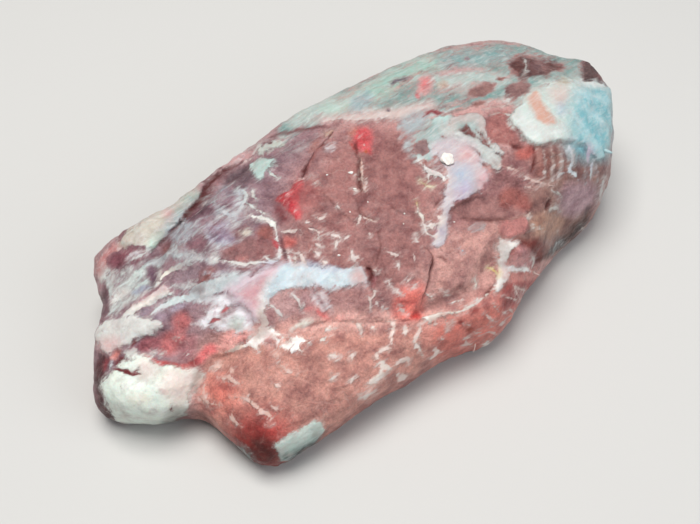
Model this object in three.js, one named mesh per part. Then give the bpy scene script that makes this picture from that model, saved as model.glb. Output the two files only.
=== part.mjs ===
// Raw pork presa: the boneless muscle from the top of the shoulder blade, trimmed and lying on its
// flat underside. Millimetres, +Z up. The origin is on the surface it lies on, under the middle of
// the piece; +X runs along it to its thick end and +Y across it to the fat-rimmed back edge.
// It is one piece of meat, so it is one closed solid: a sphere's faces are laid over a rim (the line
// where the piece is widest) and a crown, then moved in and out along their normals by the relief.
import * as THREE from "three";
import { ImprovedNoise } from "three/addons/math/ImprovedNoise.js";
import { mergeVertices } from "three/addons/utils/BufferGeometryUtils.js";

// Driving dimensions.
const LENGTH = 225;
const WIDTH = 110;
const THICKNESS = 54;

const FACETS = 22; // divisions of each edge of the icosahedron that the skin starts from
const CROWN_END = THREE.MathUtils.degToRad(78); // the sphere's angle from the top where the wall starts
const WALL_END = THREE.MathUtils.degToRad(122); // and where the wall meets the flat underside
const SHOULDER = 0.88; // share of the rim's radius at which the crown turns into the wall
const EVEN_CROWN = 3.2; // how square the crown is well inside the rim
const EVEN_TO = [0.35, 0.85]; // shares of the rim's radius between which the rim's own roundness takes over
const SAME_POINT = 1e-5; // corners of the sphere that are closer than this are one

// Places are shares of the driving dimensions: along from -1 (thin end) to 1, across from -1 (front) to 1.
const along = (share) => (share * LENGTH) / 2;
const across = (share) => (share * WIDTH) / 2;
const up = (share) => share * THICKNESS;

// The rim, round from the back corner of the thin end. Each point says where it is, how high the
// widest line runs there (belly), how square the shoulder above it is (2 is round, 5 is boxy) and
// how far the foot is tucked in under it, in millimetres.
const RIM = [
  { name: "thin end, back corner", at: [-0.759, 0.953], belly: 0.4, square: 2.6, tuck: 9 },
  { name: "thin end, hollow", at: [-0.817, 0.645], belly: 0.42, square: 2.6, tuck: 8 },
  { name: "thin end, dark edge", at: [-0.929, 0.417], belly: 0.3, square: 2.4, tuck: 7 },
  { name: "thin end, tip", at: [-0.999, 0.183], belly: 0.2, square: 2.4, tuck: 6 },
  { name: "fat lobe", at: [-0.89, -0.054], belly: 0.22, square: 2.8, tuck: 6 },
  { name: "notch beside the lobe", at: [-0.804, -0.167], belly: 0.2, square: 2.4, tuck: 7 },
  { name: "front corner, flank", at: [-0.749, -0.507], belly: 0.18, square: 2.2, tuck: 7 },
  { name: "front corner", at: [-0.718, -0.73], belly: 0.16, square: 2.1, tuck: 7 },
  { name: "front, fat strip", at: [-0.609, -0.773], belly: 0.16, square: 2.1, tuck: 8 },
  { name: "front, left", at: [-0.344, -0.824], belly: 0.2, square: 2.4, tuck: 9 },
  { name: "front, middle", at: [-0.043, -0.891], belly: 0.24, square: 3.2, tuck: 8 },
  { name: "flap, lower corner", at: [0.094, -0.969], belly: 0.26, square: 2.8, tuck: 7 },
  { name: "flap, tip", at: [0.318, -0.852], belly: 0.36, square: 2.8, tuck: 9 },
  { name: "flap, behind the tip", at: [0.49, -0.746], belly: 0.26, square: 3.2, tuck: 8 },
  { name: "thick end, front", at: [0.748, -0.67], belly: 0.28, square: 3.2, tuck: 8 },
  { name: "thick end, low corner", at: [0.896, -0.454], belly: 0.42, square: 3.2, tuck: 9 },
  { name: "thick end, high corner", at: [0.996, -0.178], belly: 0.6, square: 3.2, tuck: 12 },
  { name: "thick end, back", at: [0.942, 0.456], belly: 0.6, square: 3, tuck: 12 },
  { name: "back, right", at: [0.722, 0.82], belly: 0.55, square: 2.8, tuck: 12 },
  { name: "back, middle", at: [0.23, 0.957], belly: 0.5, square: 2.8, tuck: 12 },
  { name: "back, crease", at: [-0.054, 0.974], belly: 0.5, square: 2.8, tuck: 12 },
  { name: "back, left", at: [-0.346, 0.928], belly: 0.48, square: 2.8, tuck: 11 },
  { name: "back, rim of fat", at: [-0.612, 0.885], belly: 0.44, square: 2.8, tuck: 10 },
];

// The crown's height above the surface, at five stations from the thin end to the thick end, and how
// much it leans: positive is higher at the back.
const SPINE = [
  { height: 0.56, lean: 0.1 },
  { height: 0.76, lean: 0.2 },
  { height: 0.92, lean: 0.1 },
  { height: 1.0, lean: 0.0 },
  { height: 0.96, lean: 0.0 },
];
const spine = new THREE.SplineCurve(SPINE.map(({ height, lean }) => new THREE.Vector2(height, lean)));

const centre = new THREE.Vector2(along(-0.025), across(0.085));

// The turn, as a share of a whole one, at which a place lies about the centre.
const turnTo = (x, y) => (Math.atan2(y, x) / (2 * Math.PI) + 1) % 1;

// Two closed curves round the rim: one of its places and heights, one of its shoulder and tuck.
const rimPlaces = new THREE.CatmullRomCurve3(
  RIM.map(({ at, belly }) => new THREE.Vector3(along(at[0]), across(at[1]), up(belly))),
  true,
  "centripetal",
);
const rimShape = new THREE.CatmullRomCurve3(
  RIM.map(({ square, tuck }) => new THREE.Vector3(square, tuck, 0)),
  true,
  "catmullrom",
);

const rimFirst = rimPlaces.getPoint(0);
const RIM_START = turnTo(rimFirst.x - centre.x, rimFirst.y - centre.y);

// Everything about the rim at a share of the way round it, from 0 to 1.
function rimAt(share) {
  const t = rimPlaces.getUtoTmapping(share);
  const place = rimPlaces.getPoint(t);
  const shape = rimShape.getPoint(t);
  return { place, square: Math.max(2, shape.x), tuck: shape.y };
}

const smooth = (low, high, x) => THREE.MathUtils.smoothstep(x, low, high);

// The crown's height above a place.
function crownHeight(x, y) {
  const station = (x / (LENGTH / 2) + 1) / 2;
  const { x: height, y: lean } = spine.getPoint(THREE.MathUtils.clamp(station, 0, 1));
  return up(height) * (1 + (lean * y) / (WIDTH / 2));
}

// The skin's point for a direction of the sphere: on the crown, the wall or the underside.
function skinPoint(direction) {
  const { place, square, tuck } = rimAt((turnTo(direction.x, direction.y) + 1 - RIM_START) % 1);
  const cosine = direction.z;
  const rimX = place.x - centre.x;
  const rimY = place.y - centre.y;
  const reach = Math.hypot(rimX, rimY);
  const out = (radius, height) =>
    new THREE.Vector3(centre.x + (rimX * radius) / reach, centre.y + (rimY * radius) / reach, height);
  const crownShare = Math.sqrt(Math.max(0, (1 - cosine) / (1 - Math.cos(CROWN_END))));
  const roundOff = (share) => (1 - share ** square) ** (1 / square);
  // Well inside the rim the crown takes one roundness all round, so that nothing fans out from its middle.
  const crownRound = (share) => {
    const even = (1 - share ** EVEN_CROWN) ** (1 / EVEN_CROWN);
    return THREE.MathUtils.lerp(even, roundOff(share), smooth(EVEN_TO[0], EVEN_TO[1], share));
  };
  const rise = (radius) => {
    const { x, y } = out(radius, 0);
    return crownHeight(x, y) - place.z;
  };
  if (crownShare < 1) {
    const radius = crownShare * SHOULDER * reach;
    return out(radius, place.z + rise(radius) * crownRound(crownShare * SHOULDER));
  }
  const wall = (Math.cos(CROWN_END) - cosine) / (Math.cos(CROWN_END) - Math.cos(WALL_END));
  if (wall < 1) {
    const shoulderRise = rise(SHOULDER * reach) * roundOff(SHOULDER);
    const height = (place.z + shoulderRise) * (1 - wall);
    if (height > place.z) {
      const lift = ((height - place.z) / shoulderRise) * roundOff(SHOULDER);
      return out(reach * roundOff(lift), height);
    }
    const drop = 1 - height / place.z;
    return out(reach - tuck * (1 - Math.sqrt(1 - drop ** 2)), height);
  }
  const soleShare = Math.sqrt(Math.max(0, (1 + cosine) / (1 + Math.cos(WALL_END))));
  return out(soleShare * (reach - tuck), 0);
}

// Relief. Every feature is a path of places on the skin (along, across, up) with a reach to each side
// of it, in millimetres; a single place makes a round feature.

// Seams, valleys and clefts, where two muscles or a muscle and its fat meet.
const CREASES = [
  {
    name: "seam above the front muscle",
    path: [
      [-0.71, -0.17, 0.44],
      [-0.54, -0.27, 0.59],
      [-0.37, -0.46, 0.65],
      [-0.15, -0.76, 0.6],
      [0.06, -0.86, 0.66],
      [0.18, -0.76, 0.75],
    ],
    depth: 3.4,
    reach: 6,
  },
  {
    name: "valley inside the fat rim",
    path: [[-0.23, 0.74, 0.86], [-0.36, 0.75, 0.82], [-0.46, 0.65, 0.81], [-0.59, 0.61, 0.72]],
    depth: 4,
    reach: 8,
  },
  {
    name: "cleft in the middle",
    path: [[-0.31, 0.17, 0.84], [-0.33, 0.08, 0.82], [-0.35, -0.02, 0.79]],
    depth: 3,
    reach: 5,
  },
  { name: "gap above the flap", path: [[0.16, -0.85, 0.68], [0.32, -0.89, 0.45]], depth: 4, reach: 6 },
  {
    name: "crease above the fat lobe",
    path: [[-0.90, 0.20, 0.44], [-0.84, 0.02, 0.46]],
    depth: 3,
    reach: 4,
  },
  {
    name: "notch beside the fat lobe",
    path: [[-0.76, -0.18, 0.4], [-0.78, -0.24, 0.1]],
    depth: 3,
    reach: 7,
  },
  { name: "knife hole", path: [[-0.19, -0.37, 0.79], [-0.21, -0.45, 0.74]], depth: 3, reach: 3 },
  { name: "torn crevice", path: [[0.46, -0.35, 0.95], [0.44, -0.51, 0.9]], depth: 2.5, reach: 4 },
];

// Knife cuts that left one side of the path standing higher than the other. The higher side is on
// the path's left.
const LEDGES = [
  {
    name: "left cut",
    path: [[0.06, 0.53, 0.95], [-0.03, 0.47, 0.94], [-0.14, 0.35, 0.91], [-0.22, 0.25, 0.88]],
    rise: 2.2,
    fade: 12,
  },
  {
    name: "middle cut",
    path: [[0.08, 0.42, 0.96], [0.04, 0.25, 0.95], [0.01, 0.16, 0.93], [-0.03, 0.02, 0.91]],
    rise: 1.8,
    fade: 14,
  },
  {
    name: "right cut",
    path: [[-0.13, -0.72, 0.65], [-0.07, -0.66, 0.74], [-0.02, -0.58, 0.8], [0.03, -0.36, 0.88]],
    rise: 2.2,
    fade: 14,
  },
  {
    name: "edge over the pocket",
    path: [[0.12, -0.42, 0.89], [0.19, -0.43, 0.9], [0.28, -0.39, 0.93]],
    rise: 1.8,
    fade: 10,
  },
];

// Muscles and fat that stand proud, and hollows (negative).
const SWELLS = [
  { name: "fat lobe", path: [[-0.90, 0.08, 0.36], [-0.84, -0.11, 0.34]], rise: 4.5, reach: 15 },
  { name: "front muscle", path: [[-0.63, -0.50, 0.42], [-0.44, -0.66, 0.45]], rise: 3, reach: 24 },
  {
    name: "front muscle, right",
    path: [[-0.24, -0.82, 0.4], [-0.04, -0.90, 0.4]],
    rise: 1.5,
    reach: 18,
  },
  {
    name: "small muscle over the flap",
    path: [[0.24, -0.84, 0.72], [0.34, -0.82, 0.66]],
    rise: 2.5,
    reach: 9,
  },
  {
    name: "fat at the thick end",
    path: [[0.60, -0.29, 0.93], [0.72, -0.18, 0.93]],
    rise: 2.5,
    reach: 18,
  },
  { name: "knob at the thick end", path: [[0.95, -0.03, 0.8]], rise: 4, reach: 11 },
  { name: "fold of skin", path: [[-0.65, 0.40, 0.66], [-0.79, 0.44, 0.53]], rise: 2, reach: 5 },
  {
    name: "pale fat at the thin end",
    path: [[-0.86, 0.40, 0.47], [-0.76, 0.25, 0.55]],
    rise: 2,
    reach: 9,
  },
  {
    name: "fat rim at the back corner",
    path: [[-0.72, 0.95, 0.5], [-0.52, 0.91, 0.66]],
    rise: 1.2,
    reach: 9,
  },
  { name: "left muscle", path: [[-0.50, 0.27, 0.78]], rise: 2, reach: 26 },
  {
    name: "hollow above the fat lobe",
    path: [[-0.78, 0.10, 0.52], [-0.69, -0.06, 0.56]],
    rise: -3,
    reach: 10,
  },
  { name: "pocket", path: [[0.22, -0.50, 0.87], [0.34, -0.56, 0.84]], rise: -3, reach: 11 },
  { name: "sag before the thick end", path: [[0.50, -0.76, 0.5]], rise: -2, reach: 14 },
];

const LEDGE_SLOPE = 2.5; // how far from the cut its two sides have parted fully

// The skin's own unevenness: the size of its lumps and how far they stand out.
const LUMPS = [
  { size: 34, height: 1.6 },
  { size: 13, height: 0.7 },
];

const places = (path) => path.map(([x, y, z]) => new THREE.Vector3(along(x), across(y), up(z)));

// The nearest point to a place on a path, with its distance and the path's direction there.
function nearest(points, place) {
  if (points.length === 1) {
    return { point: points[0], distance: points[0].distanceTo(place), heading: new THREE.Vector3(1, 0, 0) };
  }
  const line = new THREE.Line3();
  let best = null;
  for (let i = 0; i + 1 < points.length; i += 1) {
    line.set(points[i], points[i + 1]);
    const point = line.closestPointToPoint(place, true, new THREE.Vector3());
    const distance = point.distanceTo(place);
    if (!best || distance < best.distance) {
      best = { point, distance, heading: line.delta(new THREE.Vector3()).normalize() };
    }
  }
  return best;
}

const features = {
  creases: CREASES.map((crease) => ({ ...crease, points: places(crease.path) })),
  ledges: LEDGES.map((ledge) => ({ ...ledge, points: places(ledge.path) })),
  swells: SWELLS.map((swell) => ({ ...swell, points: places(swell.path) })),
};

const noise = new ImprovedNoise();

// How far the skin moves along its normal at a place.
function relief(place, normal) {
  let move = 0;
  for (const { points, depth, reach } of features.creases) {
    move -= depth * (1 - smooth(0, reach, nearest(points, place).distance));
  }
  for (const { points, rise, reach } of features.swells) {
    move += rise * (1 - smooth(0, reach, nearest(points, place).distance));
  }
  for (const { points, rise, fade } of features.ledges) {
    const { point, distance, heading } = nearest(points, place);
    const side = normal.dot(heading.clone().cross(place.clone().sub(point)));
    const share = THREE.MathUtils.clamp(side / LEDGE_SLOPE, -1, 1);
    move += share * (rise / 2) * Math.exp(-distance / fade);
  }
  for (const { size, height } of LUMPS) {
    move += height * noise.noise(place.x / size, place.y / size, place.z / size + size);
  }
  return move;
}

const SOLE_BLEND = 7; // height over which the relief dies away towards the flat underside

// Moves every point of the skin by the relief, leaving the underside flat.
function carve(geometry) {
  const { position, normal } = geometry.attributes;
  const place = new THREE.Vector3();
  const out = new THREE.Vector3();
  for (let i = 0; i < position.count; i += 1) {
    place.fromBufferAttribute(position, i);
    out.fromBufferAttribute(normal, i);
    const share = smooth(0, SOLE_BLEND, place.z);
    if (share > 0) {
      place.addScaledVector(out, share * relief(place, out));
      position.setXYZ(i, place.x, place.y, Math.max(0, place.z));
    }
  }
}

// The whole closed skin, in its place.
function skin() {
  const sphere = new THREE.IcosahedronGeometry(1, FACETS);
  sphere.deleteAttribute("normal");
  sphere.deleteAttribute("uv");
  const geometry = mergeVertices(sphere, SAME_POINT);
  const position = geometry.attributes.position;
  const direction = new THREE.Vector3();
  for (let i = 0; i < position.count; i += 1) {
    direction.fromBufferAttribute(position, i).normalize();
    const point = skinPoint(direction);
    position.setXYZ(i, point.x, point.y, point.z);
  }
  geometry.computeVertexNormals();
  carve(geometry);
  fit(geometry);
  geometry.computeVertexNormals();
  return geometry;
}

// Centres the skin over the origin and gives it exactly the driving dimensions.
function fit(geometry) {
  geometry.computeBoundingBox();
  const middle = geometry.boundingBox.getCenter(new THREE.Vector3());
  const size = geometry.boundingBox.getSize(new THREE.Vector3());
  geometry.translate(-middle.x, -middle.y, 0);
  geometry.scale(LENGTH / size.x, WIDTH / size.y, THICKNESS / size.z);
}

// The piece of meat.
function presa() {
  const meat = new THREE.MeshStandardMaterial({ color: 0xb3837e, roughness: 0.45, metalness: 0 });
  const mesh = new THREE.Mesh(skin(), meat);
  mesh.name = "presa";
  return mesh;
}

const part = new THREE.Group();
part.add(presa());

export default part;
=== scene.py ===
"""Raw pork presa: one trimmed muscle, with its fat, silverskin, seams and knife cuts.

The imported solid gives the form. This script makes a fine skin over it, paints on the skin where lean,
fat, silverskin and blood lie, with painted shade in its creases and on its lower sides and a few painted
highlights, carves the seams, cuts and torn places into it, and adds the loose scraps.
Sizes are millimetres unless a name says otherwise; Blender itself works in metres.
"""

import logging
import math
from dataclasses import dataclass, field
from enum import Enum

import bpy
import numpy as np
from mathutils import Matrix, Vector, noise
from mathutils.bvhtree import BVHTree


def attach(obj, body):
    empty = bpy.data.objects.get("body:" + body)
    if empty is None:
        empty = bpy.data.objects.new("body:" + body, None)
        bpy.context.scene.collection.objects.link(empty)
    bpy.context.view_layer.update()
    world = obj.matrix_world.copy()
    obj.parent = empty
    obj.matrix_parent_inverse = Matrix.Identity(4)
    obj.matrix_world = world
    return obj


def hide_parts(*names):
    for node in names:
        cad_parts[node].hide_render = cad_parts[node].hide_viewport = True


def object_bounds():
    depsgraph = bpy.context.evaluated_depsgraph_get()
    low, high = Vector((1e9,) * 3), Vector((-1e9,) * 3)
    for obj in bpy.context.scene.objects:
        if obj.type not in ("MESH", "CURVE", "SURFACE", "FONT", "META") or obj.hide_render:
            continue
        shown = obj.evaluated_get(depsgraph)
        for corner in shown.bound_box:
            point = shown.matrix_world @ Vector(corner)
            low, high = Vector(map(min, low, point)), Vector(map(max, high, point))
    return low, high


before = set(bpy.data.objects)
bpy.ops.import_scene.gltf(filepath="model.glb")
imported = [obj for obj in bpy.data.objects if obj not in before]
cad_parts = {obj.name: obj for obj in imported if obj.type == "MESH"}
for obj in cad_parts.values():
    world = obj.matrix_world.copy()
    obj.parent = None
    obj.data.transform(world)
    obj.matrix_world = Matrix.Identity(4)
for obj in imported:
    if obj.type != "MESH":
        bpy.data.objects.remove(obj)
CAD_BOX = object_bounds()

log = logging.getLogger("presa")

MM = 0.001
NODE = "presa"
BODY = "root"
NOISE_SEED = 4


def linear(hex_colour: str) -> tuple[float, float, float]:
    """Turns a hex colour into the linear light that Blender mixes.

    Args:
        hex_colour: an sRGB colour such as "#b3837e".

    Returns:
        Red, green and blue as linear numbers from 0 to 1.
    """
    shares = (int(hex_colour[at : at + 2], 16) / 255 for at in (1, 3, 5))
    return tuple(s / 12.92 if s <= 0.04045 else ((s + 0.055) / 1.055) ** 2.4 for s in shares)


def opaque(hex_colour: str) -> tuple[float, float, float, float]:
    """Gives a hex colour as Blender's sockets take it, with nothing see-through."""
    return (*linear(hex_colour), 1.0)


def smooth(low: float, high: float, value: np.ndarray) -> np.ndarray:
    """Eases from 0 to 1 as the value goes from low to high."""
    share = np.clip((value - low) / (high - low), 0.0, 1.0)
    return share * share * (3 - 2 * share)


def hold(piece: bpy.types.Object | None = None) -> None:
    """Deselects everything, then selects the piece, if one is given, and makes it the active one."""
    bpy.ops.object.select_all(action="DESELECT")
    if piece:
        piece.select_set(True)
        bpy.context.view_layer.objects.active = piece


# ---------------------------------------------------------------------------------------------------
# Where things are looked at from


@dataclass(frozen=True)
class PhotoCamera:
    """The camera that sees the piece as it was photographed, from the front left and above."""

    azimuth: float = -40.0
    elevation: float = 52.0
    distance: float = 345.0
    target: tuple[float, float, float] = (-15.5, -5.0, 25.0)
    lens: float = 50.0
    sensor: float = 36.0
    image: tuple[int, int] = (700, 524)
    nearest: float = 10.0

    @property
    def back(self) -> np.ndarray:
        """The direction from the target to the camera."""
        turn, lift = math.radians(self.azimuth), math.radians(self.elevation)
        flat = math.cos(lift)
        return np.array([math.sin(turn) * flat, -math.cos(turn) * flat, math.sin(lift)])

    @property
    def right(self) -> np.ndarray:
        """The direction to the right in the picture."""
        turn = math.radians(self.azimuth)
        return np.array([math.cos(turn), math.sin(turn), 0.0])

    @property
    def up(self) -> np.ndarray:
        """The direction up in the picture."""
        return np.cross(self.back, self.right)

    @property
    def place(self) -> np.ndarray:
        """Where the camera stands."""
        return np.array(self.target) + self.back * self.distance

    @property
    def focal(self) -> float:
        """The focal length in picture points."""
        return self.lens / self.sensor * self.image[0]

    @property
    def mm_per_point(self) -> float:
        """What one picture point spans at the target."""
        return self.distance / self.focal

    def project(self, places: np.ndarray) -> np.ndarray:
        """Says where places on the piece come to lie in the photograph.

        Args:
            places: an array of places, in millimetres.

        Returns:
            Their picture coordinates, x to the right and y down.
        """
        away = places - self.place
        depth = -(away @ self.back)
        x = self.image[0] / 2 + self.focal * (away @ self.right) / depth
        y = self.image[1] / 2 - self.focal * (away @ self.up) / depth
        return np.stack([x, y], axis=-1)

    def ray(self, point: tuple[float, float]) -> Vector:
        """Gives the direction, of length 1, from the camera through a point of the photograph."""
        across = (point[0] - self.image[0] / 2) / self.focal
        down = (point[1] - self.image[1] / 2) / self.focal
        return Vector(across * self.right - down * self.up - self.back).normalized()

    def build(self) -> bpy.types.Object:
        """Adds the camera to the scene and makes it the one that renders."""
        turned = Vector(-self.back).to_track_quat("-Z", "Y")
        bpy.ops.object.camera_add(location=self.place * MM, rotation=turned.to_euler())
        camera = bpy.context.object
        camera.name = "photo_camera"
        camera.data.lens = self.lens
        camera.data.sensor_width = self.sensor
        camera.data.sensor_fit = "HORIZONTAL"
        camera.data.clip_start = self.nearest * MM
        bpy.context.scene.camera = camera
        return camera


CAMERA = PhotoCamera()


class View(Enum):
    """The sides from which the skin is painted. The value is the direction that the side faces."""

    PHOTO = tuple(CAMERA.back)
    BACK = (0.0, 1.0, 0.0)
    UNDER = (0.0, 0.0, -1.0)
    THICK_END = (1.0, 0.0, 0.0)

    def flatten(self, places: np.ndarray) -> np.ndarray:
        """Says where places on the piece lie in this view.

        Args:
            places: an array of places, in millimetres.

        Returns:
            Picture points for the photograph; otherwise millimetres along and up, or along and across.
        """
        if self is View.PHOTO:
            return CAMERA.project(places)
        axes = {View.BACK: (0, 2), View.UNDER: (0, 1), View.THICK_END: (1, 2)}[self]
        return places[:, axes]

    @property
    def mm_per_unit(self) -> float:
        """What one unit of this view's coordinates spans on the piece."""
        return CAMERA.mm_per_point if self is View.PHOTO else 1.0

    def facing(self, normals: np.ndarray) -> np.ndarray:
        """Says how far each place of the skin can be seen, from 0 to 1."""
        low, high = (-0.16, -0.04) if self is View.PHOTO else (0.25, 0.55)
        return smooth(low, high, normals @ np.array(self.value))


# ---------------------------------------------------------------------------------------------------
# What is drawn on the skin


class Tissue(Enum):
    """What a mark puts on the skin, painted shade included, with how far it stands out from the skin by
    itself.
    """

    LEAN = -0.1
    FAT = 0.35
    FILM = 0.05
    STAIN = 0.0
    # Painted shade in creases, cuts, slits and holes, laid over their own darker red and sunk into the
    # skin.
    DEEP = -0.7
    SWELL = 0.001


LEAN, FAT, FILM, STAIN, DEEP, SWELL = Tissue
THREAD_RISE = 0.1


@dataclass(frozen=True)
class Mark:
    """One stroke or area of tissue, whose path is a row of x,y pairs in its view's coordinates.

    A mark with a width is a stroke along its path, and one without is the area that it encloses. The
    edge is how softly it fades, the amount how much of it is laid, and the rise how far it stands out.
    """

    name: str
    tissue: Tissue
    tint: str
    path: str
    width: float = 0.0
    edge: float = 2.4
    amount: float = 1.0
    rise: float | None = None

    @property
    def points(self) -> np.ndarray:
        """The path's corners, rounded off twice as by hand, with a stroke's two ends kept."""
        row = np.array([[float(number) for number in pair.split(",")] for pair in self.path.split()])
        for _ in range(2):
            ahead = np.roll(row, -1, axis=0)
            cut = np.stack([row * 0.75 + ahead * 0.25, row * 0.25 + ahead * 0.75], axis=1).reshape(-1, 2)
            row = np.vstack([row[:1], cut[:-2], row[-1:]]) if self.width else cut
        return row

    @property
    def height(self) -> float:
        """How far the mark stands out, negative where it is sunk. A thread of fat stands out little."""
        if self.rise is None:
            return THREAD_RISE if self.width and self.tissue is FAT else self.tissue.value
        return self.rise


def sheet(text: str, sharpest: float = 0.8, softening: float = 0.0) -> tuple[Mark, ...]:
    """Reads marks from a sheet, in the order in which they are laid.

    Args:
        text: for each mark its name and a colon, its tissue and tint, its settings, and its path. A
            setting is the first letter of width, edge, amount or rise and a number. A slash begins
            another mark of the same kind. A line without a colon goes on with the line above.
        sharpest: the edge of the thinnest stroke, where its settings give none.
        softening: how much that edge grows with the stroke's width.

    Returns:
        The marks.
    """
    rows: list[str] = []
    for part in text.strip().splitlines():
        if ":" in part:
            rows.append(part)
        else:
            rows[-1] += part
    marks = []
    for row in rows:
        name, given = row.split(": ")
        kind, *words = given.split()
        tint = next((word for word in words if word[0] == "#"), "")
        settings = {each: float(word[1:]) for word in words for each in ("width", "edge", "amount", "rise")
                    if word[0] == each[0]}
        if "width" in settings:
            settings.setdefault("edge", sharpest + softening * settings["width"])
        path = " ".join(word for word in words if word[0] in "-/0123456789")
        marks += [Mark(name, Tissue[kind], tint, each, **settings) for each in path.split(" / ")]
    return tuple(marks)


@dataclass(frozen=True)
class Cut:
    """A knife cut that left one side of its path standing higher than the other.

    The high side is given as a direction in the picture.
    """

    name: str
    path: str
    high: tuple[float, float]
    rise: float = 1.4
    fade: float = 5.0
    slope: float = 0.45

    @property
    def points(self) -> np.ndarray:
        """The path's corners."""
        return Mark(self.name, DEEP, "", self.path, width=1.0).points


# ---------------------------------------------------------------------------------------------------
# The photographed side, in picture points. Tones come first, then what lies over them.

# Towards its foot the front muscle is painted darker (front muscle, low and lowest); the front corner,
# dark, and the band under the front edge are painted shade on the lower front.
TONES = sheet("""
thin third, dusky: LEAN #987a81 e22 85,250 200,175 300,110 330,135 296,185 288,225 284,262 250,290 200,345
    150,440 60,420
middle, rose brown: LEAN #a5736f e14 300,180 335,130 420,120 445,180 440,240 420,305 300,300 280,250
right, salmon brown: LEAN #cd9b92 e12 440,190 530,150 610,180 560,250 520,300 440,330 415,300 436,250
thick end, wall: LEAN #95736a e10 535,140 620,140 600,230 540,260 500,244 510,205
behind the cuts, plum: LEAN #a47472 e8 440,190 470,195 500,150 530,150 540,190 470,230 440,235
front muscle: LEAN #cf9689 e10 190,345 270,328 330,320 440,316 505,330 470,356 420,380 300,470 240,470
    200,430
front muscle, right: LEAN #d37b6f e9 425,322 480,306 545,262 510,345 440,372
front muscle, glow: LEAN #ef8e7f e9 205,380 235,378 235,408 208,412
front muscle, low: LEAN #b64a45 e12 228,415 262,410 300,425 272,470 235,455
front muscle, lowest: LEAN #8f342f e8 225,430 262,428 282,470 240,470
front corner, dark: LEAN #60201c e6 246,440 272,440 284,466 250,468
under the front edge: LEAN #93524c e7 330,432 420,376 470,356 500,336 505,350 420,392 330,445
salmon left of the big hole: LEAN #c97f78 e6 395,285 424,286 421,320 396,320
""")

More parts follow.
